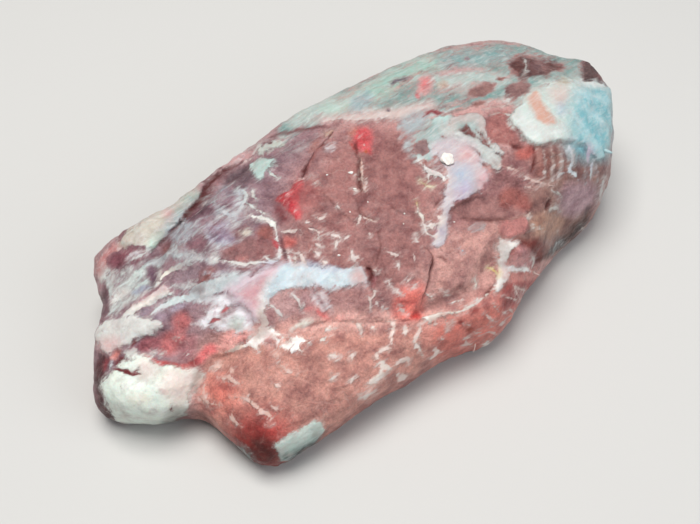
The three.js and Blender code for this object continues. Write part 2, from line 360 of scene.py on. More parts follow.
THIN_END_MARKS = sheet("""
fat rim, tip: FAT #ca8987 92,268 95,263 106,250 120,241 132,236 131,247 120,252 108,259 107,270 103,284
    96,278
fat rim, cream: FAT #d4ccbe r0.8 118,243 148,221 170,205 190,192 206,182 205,198 192,211 180,222 166,238
    158,245 148,252 140,248 130,246
fat rim, inner green: FAT #c8e4d4 146,250 158,238 170,229 182,211 194,199 199,197 190,211 176,226 164,240
    152,250
fat rim, rosy spot: STAIN #dfb0ae e3 163,212 170,210 174,216 167,220
fat rim, narrow: FAT #d0a3a3 w1.8 203,188 220,173 228,167 240,158 252,154 262,146
valley behind the rim: DEEP #6a3232 w1.5 e1.2 a0.8 160,245 166,239 173.6,230 182,220 190,212 196,204 201,198
    206,187 215,178 229,169 242,162
valley, brown wall: LEAN #7f4f50 w2 e2 a0.85 163,248 170,241 178,232 186,222 194,213 201,203 210,191 219,181
    232,172
window in the rim: LEAN #86505a 106,259 111,255 120,252 131,247 143,246 147,253 141,260 130,266 115,267
    107,263
window, upper thread: FAT #d9cdd0 w0.6 126,257 134,253 141,251 / 128,260 138,256 147,253
silverskin, thin end: FILM #d4dfda e3 a0.66 104,270 130,267 150,254 166,256 165,280 156,292 140,302 118,318
    103,320 104,295
silverskin, bright upper: FAT #d5dfda 124,282 134,272 150,261 153,266 140,276 130,286
silverskin, bright lower: FAT #cfdad6 128,291 138,283 150,278 149,284 138,291
silverskin, plum window: LEAN #7d6070 148,270 154,266 157,272 155,281 149,284
silverskin, blue line: FILM #a9b4c6 w1.2 a0.9 133,293 141,290 149,287
silverskin, tongue: FAT #ece8e2 w1.1 107,304 116,299 126,293.6
silverskin, streaks: FAT #cdd3cf w0.8 106,316 113,309 122,303 130,300
silverskin, streaks 2: FAT #c4ccc8 w0.7 108,290 114,283 120,276 127,271
thin end, brown edge: LEAN #74565c w2.6 e1.6 105,285 104,297 105,310 101,321
fold ridge: FAT #d7bcbc r0.9 172,289 164,282 157,291 143,301 130,308 120,315 126,318 140,312 156,301 171,294
fold ridge, pink: STAIN #dca6aa e4 a0.8 134,308 146,298 158,291 166,287 170,292 156,299 142,308
fold ridge, cream border: FAT #f4efe6 w1.3 172,293 163,297 154,301 146,306 136,311 124,316
cream edge over the fold: FAT #f0e8dc w1.7 160,280 166,273.6 172,270 181,268.5
pale patch over the fold: FAT #dad5cd 174,268 184,260 194,258 190,264 180,270
brown window: LEAN #8f605c 160,252 166,245 176,241 184,243 180,249 170,253
bare oval: LEAN #9c858c 172,279 181,271 194,266 202,268 198,273.6 190,278.6 180,281
grey streaks under the oval: FILM #d3dcda e2 a0.6 170,284 188,279 202,279 201,290 184,292
red-brown muscle: LEAN #96625f 197,282 202,272 212,266 216,270 212,280 204,285
dark round the tongue: DEEP #6a3c42 e1.6 a0.55 r-0.3 190,292 194,286 201,282 206,284 203,292 196,294
fat tongue: FAT #ebe4da w1 192,288.5 197,285.5 203,282.7
white lilac band: FAT #dce8e8 w2.3 216,292.5 204,295 190,297.6 176,300 166,304 158,309 152,315
mauve window, right: LEAN #bcb0c0 169,311 174,305 185,302 187,306 178,311
mauve window, middle: LEAN #a18e9c 154,319 158,313 165,310 168,313 162,319 157,321
mauve window, left: LEAN #a4929f 137,319 141,311 149,307 151,312 145,318
red patch below the band: LEAN #c47474 172,330 172,318 180,312 190,314 191,324 184,331
pale fat, thin end: FAT #e2e1dc r0.9 100,324.5 112,320 121,318 134,316.4 143,320 158,320 164,327 158,331
    149,336 140,337 133,342 125,346 115,351 107,354 101,350 98,343 96,334
pale fat, rosy lower side: STAIN #efc6c2 e5 98,345 108,338 124,341 116,350 106,354
salmon under the pale fat: LEAN #e89a90 e1.4 109,360 112,353 121,350 122,356 115,361
dark red under the pale fat: LEAN #7d393c e1.2 115,365 120,359 126,357 127,361 121,366
dark fleck: LEAN #7a3f42 w1.4 131,347.5 134,343 137,340
grey web over the lobe: FAT #cdbcba 124,356 130,349 139,346 140,351 133,356
lilac fat beside the lobe: FAT #cdc6cf 107,368 109,362 114,359 115,364 110,370
hollow, plum: LEAN #b46e75 e1.8 138,352 140,342 149,337 160,337 161,346 152,353
hollow, red: LEAN #d07c7c 160,354 160,336 172,329 187,331 186,345 176,356
hollow, mauve: LEAN #b97f82 180,360 181,341 190,334 198,338 196,352 188,361
hollow, salmon line: LEAN #c85f5d w2 143,354 154,360 164,364 177,365.5 188,367.5 196,362 205,355.5 215,350
hollow, bright red: LEAN #fb8988 e1.8 194,364 198,352 207,345 217,344 218,350 208,357 202,364
hollow, red low: LEAN #b05556 e1.4 182,374 184,368 191,366 194,370 190,375
salmon pink over the hollow: LEAN #fbb6ad 217,351 219,338 232,329 248,325 256,329 250,340 240,346 228,351
pink streak: FAT #dfaaa6 w0.9 236,334 242,329 250,322.6
dark crease: DEEP #8a3c38 w0.9 a0.5 213,358 222,356.5 230,354 236,348.5 241,343.6 247,340 251,337
cream ridge: FAT #f0dccc w1.2 225,353 231,350.6 236,348.6 241,346.6 246,345.4 250,342
fleck 1: FAT #d9cfc8 w0.7 177,339 180,337
fleck 2: FAT #d6c9c4 w0.7 153.6,353.6 156,352
fleck 3: FAT #d6c9c4 w0.8 160,354.6 164,352.6
fleck 4: FAT #d9cfc8 w0.7 186,355.5 189,353.6
""")

LOBE_MARKS = sheet("""
dark strip left of the lobe: LEAN #5a3236 101,352 97,359 92,364 91,378 95,396 99,414 104,425 120,424 108,406
    102,396 100,384 106,375 103,371 110,364 107,355
red in the strip: LEAN #a5565a e1.4 101,370 103,360 109,356 108,364 104,371
dark red under the lobe: LEAN #4a1418 e1.6 104,424 105,412 111,409 118,418 116,426
fat lobe: FAT #e8f2e6 r0.5 117,369 124,360 134,357 144,356 151,360 160.5,366 174,367 181,369 192,371 199,369
    198,376 194,384 189.5,389 188,398 188,407 185,413 178,421 165,425 153,425 130,426 118,422 112,413
    109,407 104,397 100,387 101,382 107,375
fat lobe, rosy top: STAIN #efd2cc e5 a0.8 138,368 142,360 154,364 156,374 142,377
fat lobe, rosy right: STAIN #fbe6dc e5 a0.8 163,374 180,370 197,370 198,384 190,392 188,402 174,404 162,392
fat lobe, tan low: STAIN #f2e8d2 e4 a0.7 130,401 131,396 148,395 149,401
fat lobe, shaded low: STAIN #625a56 e4 a0.8 162,422 170,412 186,409 183,420
slit in the lobe: DEEP #b43c40 w1.2 a0.9 115,368 121,370 126,371.4 132,374.5 141,374.5
slit in the lobe, fork: DEEP #b4585a w0.8 a0.6 132,373 137,371 140,367
rosy thread: STAIN #dfa9a6 w0.9 159,390 163,392 167,393
dark red spot: LEAN #9a5656 w0.9 e1.4 a0.8 172,402.5 171.6,408 171,413
grey tan beside the lobe: FAT #c3b3a8 195,389 195,376 199,370 204,372 203,383 198,390
""")

# fat strip, lower side is painted shade on the underside of the fat strip, and grey rim of film is pale
# film painted dark grey where shade falls on the front corner.
FRONT_MARKS = sheet("""
white fat at the seam: FAT #fffcf6 r0.6 247,342 252,335 260,331 266,327 272,330 279,334 288,335.6 296,336
    305,338 313,341 303,344 300,348 303,352 296,353 288,349 283,347 279,344 270,342 262,343 257,346 259,352
    253,349
rosy spot in it: STAIN #dfa7a4 e3 265,345 267,335 274,335 273,345
cream path up: FAT #dfcdc4 w2.4 258,334 262,328 266,321 263,314
fat drop: FAT #ece4da 323,334 325,324 331,321 337,323 334,330 328,335
fat drop, small: FAT #e6ddd4 w1.6 320,341 324,338 327,336
pale flesh along the seam: LEAN #edb9ae e6 a0.8 270,341 300,326 330,316 400,313 444,309 447,319 400,327
    330,330 300,338 272,351
seam, filled: SWELL w6 e3 r1.5 262,346 284,334 306,328 330,322 361,321.6 400,320.6 424,321 444,315
seam, shadow: DEEP #a8645c w0.5 a0.3 r-0.2 374,321.6 384,321 400,320.6 418,320 427,324 437,321
seam, cream edge: FAT #e7dccf w0.9 293,328.6 302,323.4 310,321
seam, bright fat: FAT #f1ece2 w1.8 419,317 429,319.6 438,317 445,314 452,313
seam, bright fat, thin: FAT #ece4d8 w0.8 452,313 461,311 468.5,307.7 474,304.6 478,302 484,297.7 489,292.6
    494,284
slit beside the fat: DEEP #7a4a40 w0.7 a0.7 485,296 490,288.6 495,283
stub: FAT #e9e1d6 w0.8 430,320 429,325 / 436,320 435.5,326
fat strip on the front edge: FAT #cbe0d6 r0.9 274,445 283,438 291,436 300,429 310,423 315,420 320,421
    322,426 325,430 315,441 305,448 295,454 288,461 281,461 279,453
fat strip, lower side: STAIN #2a403f e3 280,456 300,446 322,430 326,434 300,456 284,463
grey rim of film: FAT #5c6b66 235,444 244,448 252,456 248,460 238,450
""")

# The thin marbling, place by place.
MARBLING = sheet("""
front muscle, left: FAT #efc3b5 w1.3 213,369 219,366 225,364 / 230,368 234,373 / 220.5,378 229,377 233,383
    239,383 / 204,385 203.6,398 208,404 217,405 / 232,398 240,397 249,399 255,406 261,412 268,414 272,419
    269,425 / 231,413 232,420 238,425 / 280,365 285,370 295,373 / 274,384 281,387 / 271,407 279,410 /
    273,354 281,353
front muscle, middle: FAT #f2dacf w1.2 353.6,321 358,325.5 361,330 362,335 / 383.6,322 391,322 393.6,325.5
    392,331 391.6,344 / 371,326 373,330 / 404.5,326 405.5,336 / 420,323.6 421,329 416,335.5 413.6,340
    415,344 / 414.5,349 415.5,346 420,349 423,356 / 429,360 435.5,355.5 438,352 442,352.7 / 435,347
    437.5,352 / 375.6,353 378,358.6 / 378,352 384,349 391,348 / 352,353 352.7,361 / 329,356 338,357 /
    331,379 336,376 / 354.5,378 350,383 / 360,397 369,393.6 375,392 / 366,395 365.5,400 / 399,372.7 397,376
    / 398,381 401,378 407,375.5 / 397,365 400,361 406,360 409,358 409,366
front muscle, thick: FAT #f0e2d8 w1.9 377,364.5 383,362.7 384.5,368 392,369 / 383.6,368 382,374.5 376,379
    373,382 366,384
flap: FAT #e2bdb2 w0.6 444,316 447,322 447,330 / 447.7,323 453,323 / 434,323 437.6,325 / 441,339 445,338.4 /
    467,324 471,325.6 / 474,332 478,334 483,333 / 488,332.7 497.6,334 / 491,326.6 495,328.6 / 485,315
    491,318.5 497,322 / 492,302 495.4,307.7 499,311 / 502,312 508,314 / 509,308.6 512,312 / 515,289 520,298
    / 464,339 471,338.4 / 465.4,340 467,344.6 / 461,345.4 473,344.6
middle, left: FAT #e4cfc8 w0.85 280.5,233 290.5,231 302,230.5 / 308,228 317.7,231 319.5,233 324,232 /
    318.6,233 318.6,240 / 315,243 321,246.6 / 312,250.5 316,252 320,257 / 289,252 297,253 303,252 /
    300.5,253 302,259.5 305,261 / 294,254 295,262 / 331,234 340,237.4 / 337,240 336,248 / 322,261 328,263 /
    315,217 321,219 326,215 / 305,222.7 310,222 / 336,203 341,209
middle, right: FAT #e0c9c2 w0.75 360,215 359,223 356.6,225 / 344,239.4 349,235.6 / 350,249 352.7,253.6
    352,258 355,262 / 355,257 359.6,258 / 369,231 370.4,235 / 386,251 395.5,256 400,255.4 / 398,262
    399,268.6 / 413.6,253 414.5,261 / 416,236 416,241 420.6,243.6 / 372,289 375.5,293 373,297 369,300 /
    366,294.5 370,298 370,310 / 374,270 378.6,272.4 / 388.6,280 390,286 / 396,291.6 401,294 / 406,283
    412,276.6 / 410,288.6 417,283.6 / 400,308 406,312.4
net at the cut: FAT #ecded6 w0.65 422,223 426,226 434,225 439,223.6 / 425,226 426,233 431,235 435,237.4 /
    430,224 433,230 / 436.6,216 440.4,219.6 / 443,291.6 448.6,296.6 / 426,293.6 433.6,299.6 / 452,303
    461.6,300 / 477.6,297.6 475.6,302
""", 0.5, 0.6)

# Wisps of silverskin over the left muscle.
WISPS = sheet("""
wisp: FILM #c6ced2 w3.2 a0.75 240,190 238,200 236,208 234,216
wisp: FILM #b8bcc2 w2.6 a0.7 213,206 222,210 230,213 238,213
wisp: FILM #b3bcc3 w5 a0.8 175,246 179,234 185,226 193,221
wisp: FILM #c5cdd2 w3 a0.78 206,232 214,240 222,244 230,246 240,250 250,250
wisp: FILM #b3adc4 w4.4 a0.6 210,226 219,232 229,236
wisp: FILM #bcc7c9 w3.4 a0.78 150,264 164,257 179,254 192,257
wisp: FILM #ccd3d4 w2.6 a0.78 198,258 216,262 236,264 256,264 272,266
wisp: FILM #bcc8d6 w4.4 a0.8 206,274 228,275 250,274 268,272
wisp: FILM #abb6bd w3.4 a0.42 222,196 216,204 208,214 202,224
wisp: FILM #fbf2f0 w3 a0.9 192,324 208,319 226,321 244,325 258,331
wisp: FILM #e2e6ea w4 a0.95 196,300 214,298 234,300 248,306
""", 0.0, 0.8)

MIDDLE_MARKS = (*sheet("""
veil, left muscle: FILM #756874 e6 a0.46 166,252 176,226 196,204 216,186 236,182 252,190 256,206 248,222
    240,238 250,250 236,258 206,262 182,262
grey film, left muscle: FILM #a6aeb2 e4 a0.6 172,240 180,226 200,206 222,190 232,188 226,204 206,222 190,242
lilac film, left muscle: FILM #877f8d e4 a0.62 212,216 218,196 232,184 246,184 244,204 228,220
brown top of the muscle: LEAN #705a60 e3 222,186 228,172 246,166 256,170 254,180 238,186
brown window: LEAN #86646c e2 190,218 196,211 206,208 210,213 202,221 193,224
brown window, lower: LEAN #8f6a6c e2 232,236 236,226 248,222 252,230 246,238
long vein: FAT #d8d8d2 w1.4 236,187 245.5,193 245.5,199 240,208 234,215
branch: FAT #cfcfca w1 231,216.6 222,211.6
short vein: FAT #d3d3ce w1 252,189 253.6,196 256,199 / 245,201.6 257.4,209.4
bright vein: FAT #ebe9e2 w1.5 252,215 263.6,217 272.7,223.6 276,230 277,240
vein beside it: FAT #dcdad4 w0.8 259,209 266.6,215
arched vein: FAT #ddd9cf w1.1 190,220 201,209 213.6,205.5 220,201
vein at the fascia: FAT #d5d6d0 w1 269,171 277.6,177.6
low vein: FAT #dedcd5 w1.2 205,232 212,238.5 219,244 224,242.6 227.6,248.6
low vein, branch: FAT #d9d6d0 w0.9 227,246 231,250 237,252.6 / 238,254 245,253
film patch: FILM #cfd4d4 e1.6 a0.8 236,240 242,238 252,240 250,248 240,249
cream blob: FAT #ddd2c4 241,232 248,228 255,230 252,236 244,237
plum oval: LEAN #8d7a8c e1.6 214,238 222,232 234,234 232,241 220,244
pale streaks: FILM #d6dad7 a0.7 200,240 204,228 214,224 214,236
"""), *WISPS, *sheet("""
window, upper plum: LEAN #6d4e59 a0.8 187,222 190,213 198,206 208,204 214,207 210,214 200,221 192,225
window, middle plum: LEAN #8c6c78 a0.6 219,208 220,199 227,194 236,195 237,203 230,209
window, red plum: LEAN #8a6068 a0.8 188,247 192,238 201,235 209,241 207,249 196,252
window, lilac: LEAN #8f7788 a0.5 209,240 212,230 222,226 232,231 230,240 220,243
window, low plum: LEAN #977782 a0.55 216,262 232,266 250,266 268,267 262,272 240,274 222,272
red-brown beside the cleft: LEAN #9a5f5a e2 256,240 258,226 270,222 276,232 274,241
brown muscle below: LEAN #986766 218,258 224,246 246,238 262,238 278,246 276,262 240,264
salmon patch: LEAN #c0807a e1.6 235,262 237,255 246,254 247,261
green fascia patch: FAT #bcd4cd 250,166 259,160 271,157 278,160 271,166 264.5,173 260,181 256,178 254,173
top fascia, left: FAT #c5c9c0 258,152 266,144 280,139 282,146 272,152 262,156
spot in it: LEAN #7f6260 w1.1 269,144.6 273,143.4
ragged white line: FAT #e2dfda w0.8 214,259 222,261 233,262 244,264.4 255,263 265,262 272,263.6
islands under it: LEAN #8d5f60 w1 236,267 243,268.6 251,268
cleft, left vein: FAT #e2dedb w0.9 276,230 276,237.7 278.5,245 281,253 278.5,260 281,266 / 287,252 290,261
    292,268
cleft: DEEP #6a4656 w1 a0.8 r-1 278.6,233 281.5,241.5 284,249 285.4,254.6 286.6,262
cleft, blood: LEAN #b0464c w1.5 272,240 276,244 278.6,249
orange red at the cleft: LEAN #cf716a e2 282,238 289,236 297,238 296,246 285,248
net at the cleft: FAT #ddd9d4 w0.7 264,255.6 267.7,258.5 271,262 278,261
blue film over the web: FILM #bdd2e6 a0.85 254,281 262,268 276,262 290,262 292,268 276,274 262,282
pale blue film: FAT #c1cacd 188,291 202,282 224,276 240,272 252,275 250,284 240,290 220,294 204,296 190,298
rosy film, lower left: FILM #f2f0f4 e4 a0.95 196,330 204,308 224,300 246,302 256,316 250,326 226,330
window, plum: LEAN #c0b0b3 219,314 226,306 238,305 237,312 226,316
window, red: LEAN #c2666a w1.5 221,312 225,308.6 229,307
window, red low: LEAN #b96468 w1.5 209,323.6 215,320 221,319.4
green film: FAT #c7d4cc 231,327 235,321 240,322 238,328
pink web: FAT #d9c6d0 e3 r0.8 281,264 289,266 283,274 276,281 273,291 269,302 264,313 261,322 253,322
    249,312 242,305 232,299 226,292 238,287 247,279 258,272 270,267
pink web, heart: STAIN #e4a9ae e4 a0.85 271,273 279,268 273,280 267,292 263,306 258,317 252,308 244,300
    237,293 250,286 261,279
web, white border: FAT #ece6e4 w0.9 271,283 268,290 265,296 262,311
milky band: FAT #d3e3ea r0.5 290,264 306,261 311,265 324,268 347,268 359,266 361,269 367,280 369,286 350,285
    343.6,288 330,289 313,288 297,287 281,291 274,295 268,300 270,286 278,276
milky band, rosy end: STAIN #dcb6b2 e4 350,284 352,272 360,270 368,284 362,290
milky band, blue top: STAIN #c5cfe0 w2 e2.4 288,266 306,263 312,266 326,269.6 347,270
islands under the band: LEAN #bd9492 e1.6 276,320 277,300 284,293 297,291 298,306 290,318
islands, left: LEAN #b08484 e1.6 262,334 264,312 270,306 276,312 275,328
islands, right: LEAN #b88c8c e1.6 299,311 301,293 313,289 320,294 316,306
net under the band: FAT #ded6d2 w0.8 269,304.6 277,309.5 283,316.6 / 290,293 298.6,299.5 299.5,306 304,309
halo of the vessel: FILM #e9dde2 a0.75 308,290 318,287 326,296 332,311 325,314 315,304
vessel: DEEP #8a6478 w0.9 e1.2 a0.5 r-0.3 313,291 317.6,297 321.6,303 326.6,311
vessel, light side: FAT #dccdd0 w0.7 317.4,291 322,297.6 326,303.6 329.6,310
vivid red: LEAN #dc4b50 316,309.5 324,312 331,317 328,320 322,319
pink beside it: LEAN #d08a88 e1.4 304,310 308,305 315,306 314,311
salmon beside it: LEAN #c87e78 e1.6 331,321 334,316 345,315 345,321
fringe: FAT #dcbcb6 w0.7 376,301 378,306 / 381,304 383.6,310 / 386,307 388,314
hole: DEEP #7a3234 e1.4 a0.75 r-1.2 364.8,268 369,267.6 372,269 372.6,276 371,284 370.4,290 368.8,284
    366.8,276.4
hole, lit wall: LEAN #a9686a w1 373.8,270 375,277 373.4,285 372,291
crack, long: DEEP #8b5f5a w0.55 a0.5 r-0.4 321,191 328,198 334,203.6 342,213 350,219 357,223.6 / 357,198
    358,212 363.6,216 378,219.4
crack, right, light side: FAT #d9b4a8 w0.5 359,215 364,218 377,221.4
crack, far right: DEEP #8b5f5a w0.55 a0.5 r-0.4 389,203.6 396,210 404,213.4
crack, upright: DEEP #8a504c w0.6 a0.6 r-0.4 378,231 380,241 381,245 380,252.7 377,259 375,266
dark mark: LEAN #6e4446 w0.8 257,241 260.4,240.6 / 259,238 266,238.8
dark ring: LEAN #6a4044 w0.9 309.6,227 314,228
"""))

# Along the left and middle cuts, the tan light and the tan edge are painted light on the raised side of
# each cut, over the torn edge's own tan.
# The small pale points on the torn red and on the blood blob are painted glints.
CUT_MARKS = sheet("""
left cut, shadow: DEEP #6a2426 w1.5 a0.75 r-0.6 313,155 309,161 306,166 303.6,170.5 301,179
left cut, upper shadow: DEEP #5a1c1a w1.2 a0.9 r-0.4 332,131 326,138.6 321,144 315.5,149.5 311,157
left cut, salmon wall: LEAN #a87670 w1.8 e1.6 319,137 314,143 309,150
left cut, lit lip: LEAN #a8645e w1 e1.2 a0.7 334,133 328,140 322,146 317,152 312.6,159 309,166 305,175
left cut, tan light: FAT #cfa28e w0.9 324,134.6 328,132 333,129.4
left cut, film: FILM #b9aab2 a0.42 322,151 324,143 331,140 337,142 335,149 329,153
left cut, light on the film: FAT #d8ced0 w0.6 a0.7 326,149.4 331,147.6
left cut, white end: FAT #e2d8d2 w0.9 298,178.8 304,177.6
left cut, thread: FAT #d8c4ba w0.7 311,179 314.5,182 320,186.6
shade beside the torn red: LEAN #72282f e2.6 a0.8 272,204 280,202 287,210 291,220 284,224 275,216
torn red, faded side: STAIN #b06563 e6 a0.85 296,180 306,178 317,182 319,192 312,203 303,213 297,206 294,192
torn red: LEAN #c55a5c e1.2 r0.35 297,181 303,179 305,184 302,191 299,198 298,205 302,213 302,219 296,220
    291,213 288,206 284,205 277,200 279,196 284,193 290,190 293,184
torn red, core: LEAN #cb3c46 e1.4 a0.9 r0.25 278,199 284,194 291,191 294,196 291,202 296,208 299,218 295,218
    290,210 285,204
torn red, nib: LEAN #d0484e w1.3 276,200 281,198 286,199
torn red, nib below: LEAN #c24046 w1.2 286,209 291,211 296,215
torn red, wet point: FAT #f0b6b2 w0.6 a0.8 288,196.6 290.6,195.6 / 293,209 294.4,211.4
torn red, wet point 3: FAT #eaa6a2 w0.6 a0.8 284,199.8 286,201.6
torn red, upper fringe: FAT #d8a09a w0.6 a0.8 296,182 299,180 303,178.4
middle cut, shadow: DEEP #8f5a52 w1.5 a0.6 356,139 355,147 356,155
middle cut, low shadow: DEEP #744040 w1.1 a0.7 r-0.6 357.4,172 358,178 359,184 361,190
middle cut, slit: DEEP #7c423e w0.8 a0.7 356.4,154 357.8,159 358.2,165 357.4,171 358.6,178 359.6,186 361,192
middle cut, tan edge: FAT #d3a698 w0.6 360.6,154 362,162 361.6,170 362,178 364,188
middle cut, nib 1: FAT #e6cfc4 w0.7 357,176 361,178.6
middle cut, nib 2: FAT #e6dcd4 w0.8 353.6,188.8 357.6,189.6
middle cut, nib 3: FAT #cba093 w0.5 a0.7 361,186 365.6,191
blood blob, faded side: STAIN #a46a6a e5 a0.7 360,124 378,126 384,140 378,152 366,152 358,140
blood blob: LEAN #cc6264 e1.8 r0.2 354,128 361,126 367,127 372,132 373,139 371,147 371,154 365,153 359,149
    354,144 352,138 354,132
blood blob, core: LEAN #cf4a50 e1.6 a0.75 354,131 362,128 367,133 368,141 366,148 371,154 364,153 358,147
    354,141
blood blob, wet point 1: FAT #f0b6b0 w0.6 a0.8 358,136 360.4,135
blood blob, wet point 2: FAT #eeb0aa w0.6 a0.8 364,144 365,146.4
blood blob, fringe: LEAN #c25a56 w1.1 349,141 353,146 357,152
orange beside it: LEAN #b9695a e1.8 a0.8 347,132 352,127 358,126 356,131 351,135
orange spot: LEAN #bd6a4c w1.4 364,151.6 367,152.4
right cut, slit: DEEP #8d504c w0.7 a0.6 424,246 429,250 433,255 433,260 431.6,267 430,274 429.6,278 427,288
    424,295 423,301 421,306
right cut, gap: DEEP #6a3436 w0.9 a0.75 434,257 431.6,264 430.6,272
right cut, step: DEEP #8a544e w0.5 a0.6 437,256 444,258.4 447,263
blood at the right cut: LEAN #fc8a7d e5 394,318 396,302 404,290 420,284 422,300 419,316 408,322
blood, deepest: LEAN #d54c47 e2 408,320 411,313 420,311 419,320
yellow bits: FAT #d3ac7c w0.8 417,202 418,209.6
white bits: FAT #e8ded2 w0.8 418,211 422,215.5 423,222
yellow bits, right: FAT #dfc27a w0.8 487,267.6 493,269 496,273
white bits, right: FAT #e8ded2 w0.8 477,279 477,287
bluish fleck: FAT #c3ccd8 w1 461.6,249.6 464,250.4
""")

FASCIA_MARKS = sheet("""
top fascia: FILM #75a19c e3 a0.8 276,142 284,118 300,104 345,90 400,60 450,46 520,42 575,56 612,64 612,110
    590,120 560,120 520,112 500,100 470,108 440,116 400,118 345,120 324,122 300,134
fascia, white left: FAT #c0cfc8 288,124 298,108 318,103 340,98 338,108 322,113 306,122
fascia, left bands: FAT #bdd3c8 318,110 350,96 392,72 430,57 428,63 396,80 360,100 330,114
fascia, green band: FAT #a4c7ba 362,96 386,82 418,66 446,58 444,64 416,74 390,90 368,102
fascia, teal band: FAT #8aaaa9 440,64 446,56 468,54 500,50 512,54 490,60 462,64
fascia, right bands: FAT #b7c6c0 430,80 452,74 486,72 508,80 500,86 470,84 444,88
fascia, grey blue: FILM #a0b8bb e2 a0.9 350,102 362,94 372,96 368,106 356,114
fascia, plum streak: LEAN #75737c w1.3 e1.4 385,88 395,81.4 411,77.6
fascia, grey spot: LEAN #857f86 w1.2 465,58.6 469.6,58.4
fascia, grey spot 2: LEAN #8e8288 w1.2 386,110.6 390.6,109.6
fascia, pink spot: STAIN #ee8a8a e3 418,93 420,80 426,76 432,80 430,88 422,93
fascia, red spot: STAIN #c85a5e w1.6 416.6,93 418.6,99
fascia, rosy band: STAIN #d6a2a0 w2.4 e2 a0.75 440,74.6 453.6,71 467,68.6 481,69.6
fascia, tan: STAIN #c6a991 e2 a0.8 437,88 439,82 446,82 447,88
fascia, low cream band: FAT #dcc8c2 w1.8 324,121.6 339,118 352,117 370,116.6 400,113 420,108 432,104.6
red line under the fascia: DEEP #7e3a3a w1 e1.2 a0.6 270,137.6 280,133 293,129.5 313.6,126 329,126.4
white streak at the corner: FAT #d9dcd6 w1 280,147 288,139.5 301,131.6
plum film: FILM #5d464f e4 a0.5 276,160 276,148 296,136 318,132 316,144 300,158
grey brown streak: LEAN #a8a09c w1.2 432,111 450,104 469,98.6
grey brown streak 2: LEAN #93807b w1 440,115.6 456,110 472,106
brown between bands: LEAN #936e69 e1.6 467,91 476,87 488,82 496,84 492,92 480,98 471,97
brown streak, right: LEAN #8c625c w1.3 496,80 505,77.4
brown streak, low: LEAN #8f655f w1.4 471,106.6 485,102.6
film spots: FILM #a9c0c6 e3 a0.5 398,138 410,132 426,134 440,140 446,156 440,170 428,172 412,162 402,150
""")

FOLD_MARKS = sheet("""
plum film over the folds: FILM #a9b8bc e3 a0.85 398,131 402,119 420,114 436,118 432,130 414,134
dark red at the folds: LEAN #8a4146 w1.4 424,117 430,111 436,112 445,112.4
green white fold: FAT #c0e2dc r0.7 428,130 432,120 442,115 456,114 455,121 446,127 436,131
folds, ground: FAT #a4bcb9 e2 r0.3 414,140 424,128 444,124 452,128 456,120 468,115 480,118 488,128 490,140
    502,154 503,168 496,170 484,162 470,152 456,146 440,150 426,168 416,160
dark lens: DEEP #985048 e1 a0.65 r-1 457,130.5 463,125 471,126 473,132 480.5,139.5 489.5,147 480.5,143
    469.5,137.7 460.5,133
fold round the lens: FAT #c2bab6 w2.2 r0.7 452,129 454,122 460.5,117 469.5,116 478.6,118.6 484,124 487.7,135
    495,144 502,154.6
second lens: DEEP #9a5c55 w1.2 a0.6 477,130 482,136 486,143 491,148.4
lower fold: FAT #c2c5c1 w2.4 r0.7 444,130 458.6,136 473,141 484,147.7 493,157 500.5,165 498.6,169
fold slit: DEEP #8c5750 w0.8 a0.6 470,147 477,151 482.6,158 / 479,161.6 486.6,166.4 / 493,152.6 503,158
fold slit 4: DEEP #8c5750 w0.7 a0.5 440,136.6 445.6,138.8
window left of the folds: LEAN #917372 e1.4 414,156 416,143 424,140 429,144 427,154 420,158
window, small: LEAN #a4736e e1 420.6,165 422,160 427.6,161 426,166 / 424.6,171 426,166.6 430,167.6
    428.6,171.6
membrane: FAT #d0c3c8 r0.4 430,150 445,140 460,142 474,149 484,169.5 489.5,176 487,182 481,188 478.6,193
    469.5,197 465,200.5 456,205 448,211 449.5,220 449,230 446,238 443,244 437,248 432,244 434,238 437,230
    440,220 441,210 444,200 442,194 446,185 446,169.5 438,160
membrane, rosy top: STAIN #dfa9a9 e4 a0.8 458,160 460,150 472,149 478,158 470,164
membrane, red edge: STAIN #ecb6b8 e4 a0.8 479,188 479,174 486,171 491,178 486,187
membrane, blue middle: STAIN #b9cadd e5 a0.9 454,183 455,168 465,165 472,172 470,184 460,188
membrane, lilac: STAIN #c3b7d4 e4 a0.8 457,199 458,186 468,182 470,194 462,201
membrane, lilac tail: STAIN #b5abc0 e3 a0.7 434,244 437,228 443,222 447,230 442,244
ragged film edge: FAT #eae6e2 w1.1 r0.5 420,163.6 424,167.7 429.5,172 441,175 445,180.6
film drip: FAT #e6e1dc w0.7 428.6,172 428.6,181
film drip 2: FAT #e6e1dc w0.6 435,173.6 436,179
yellow line: FAT #d9c69c w0.6 420,180.6 427,187 434,187.8
curved crack: DEEP #8b5f5a w0.6 a0.5 434.6,207.6 438.6,201 443.6,197.4
red muscle by the folds: LEAN #ad726d e1.6 486,143 486,118 498,108 512,112 518,126 526,138 524,146 510,145
    500,143
streak in it: FAT #c9a8a0 w0.7 482,110 496,106 508,106
streak in it 2: FAT #c3a29a w0.6 488,116 500,111 514,115.6
dark under it: DEEP #7d3431 w1.6 e1.2 a0.7 511,144 518,147 525,147.4
salmon red under the plateau: LEAN #bd6a62 e1.8 513,156 516,148 530,146 538,151 534,158 522,160
crevice: DEEP #8a3a34 w1.1 a0.75 r-1 534,150 535,160.5 532,170.6
""")

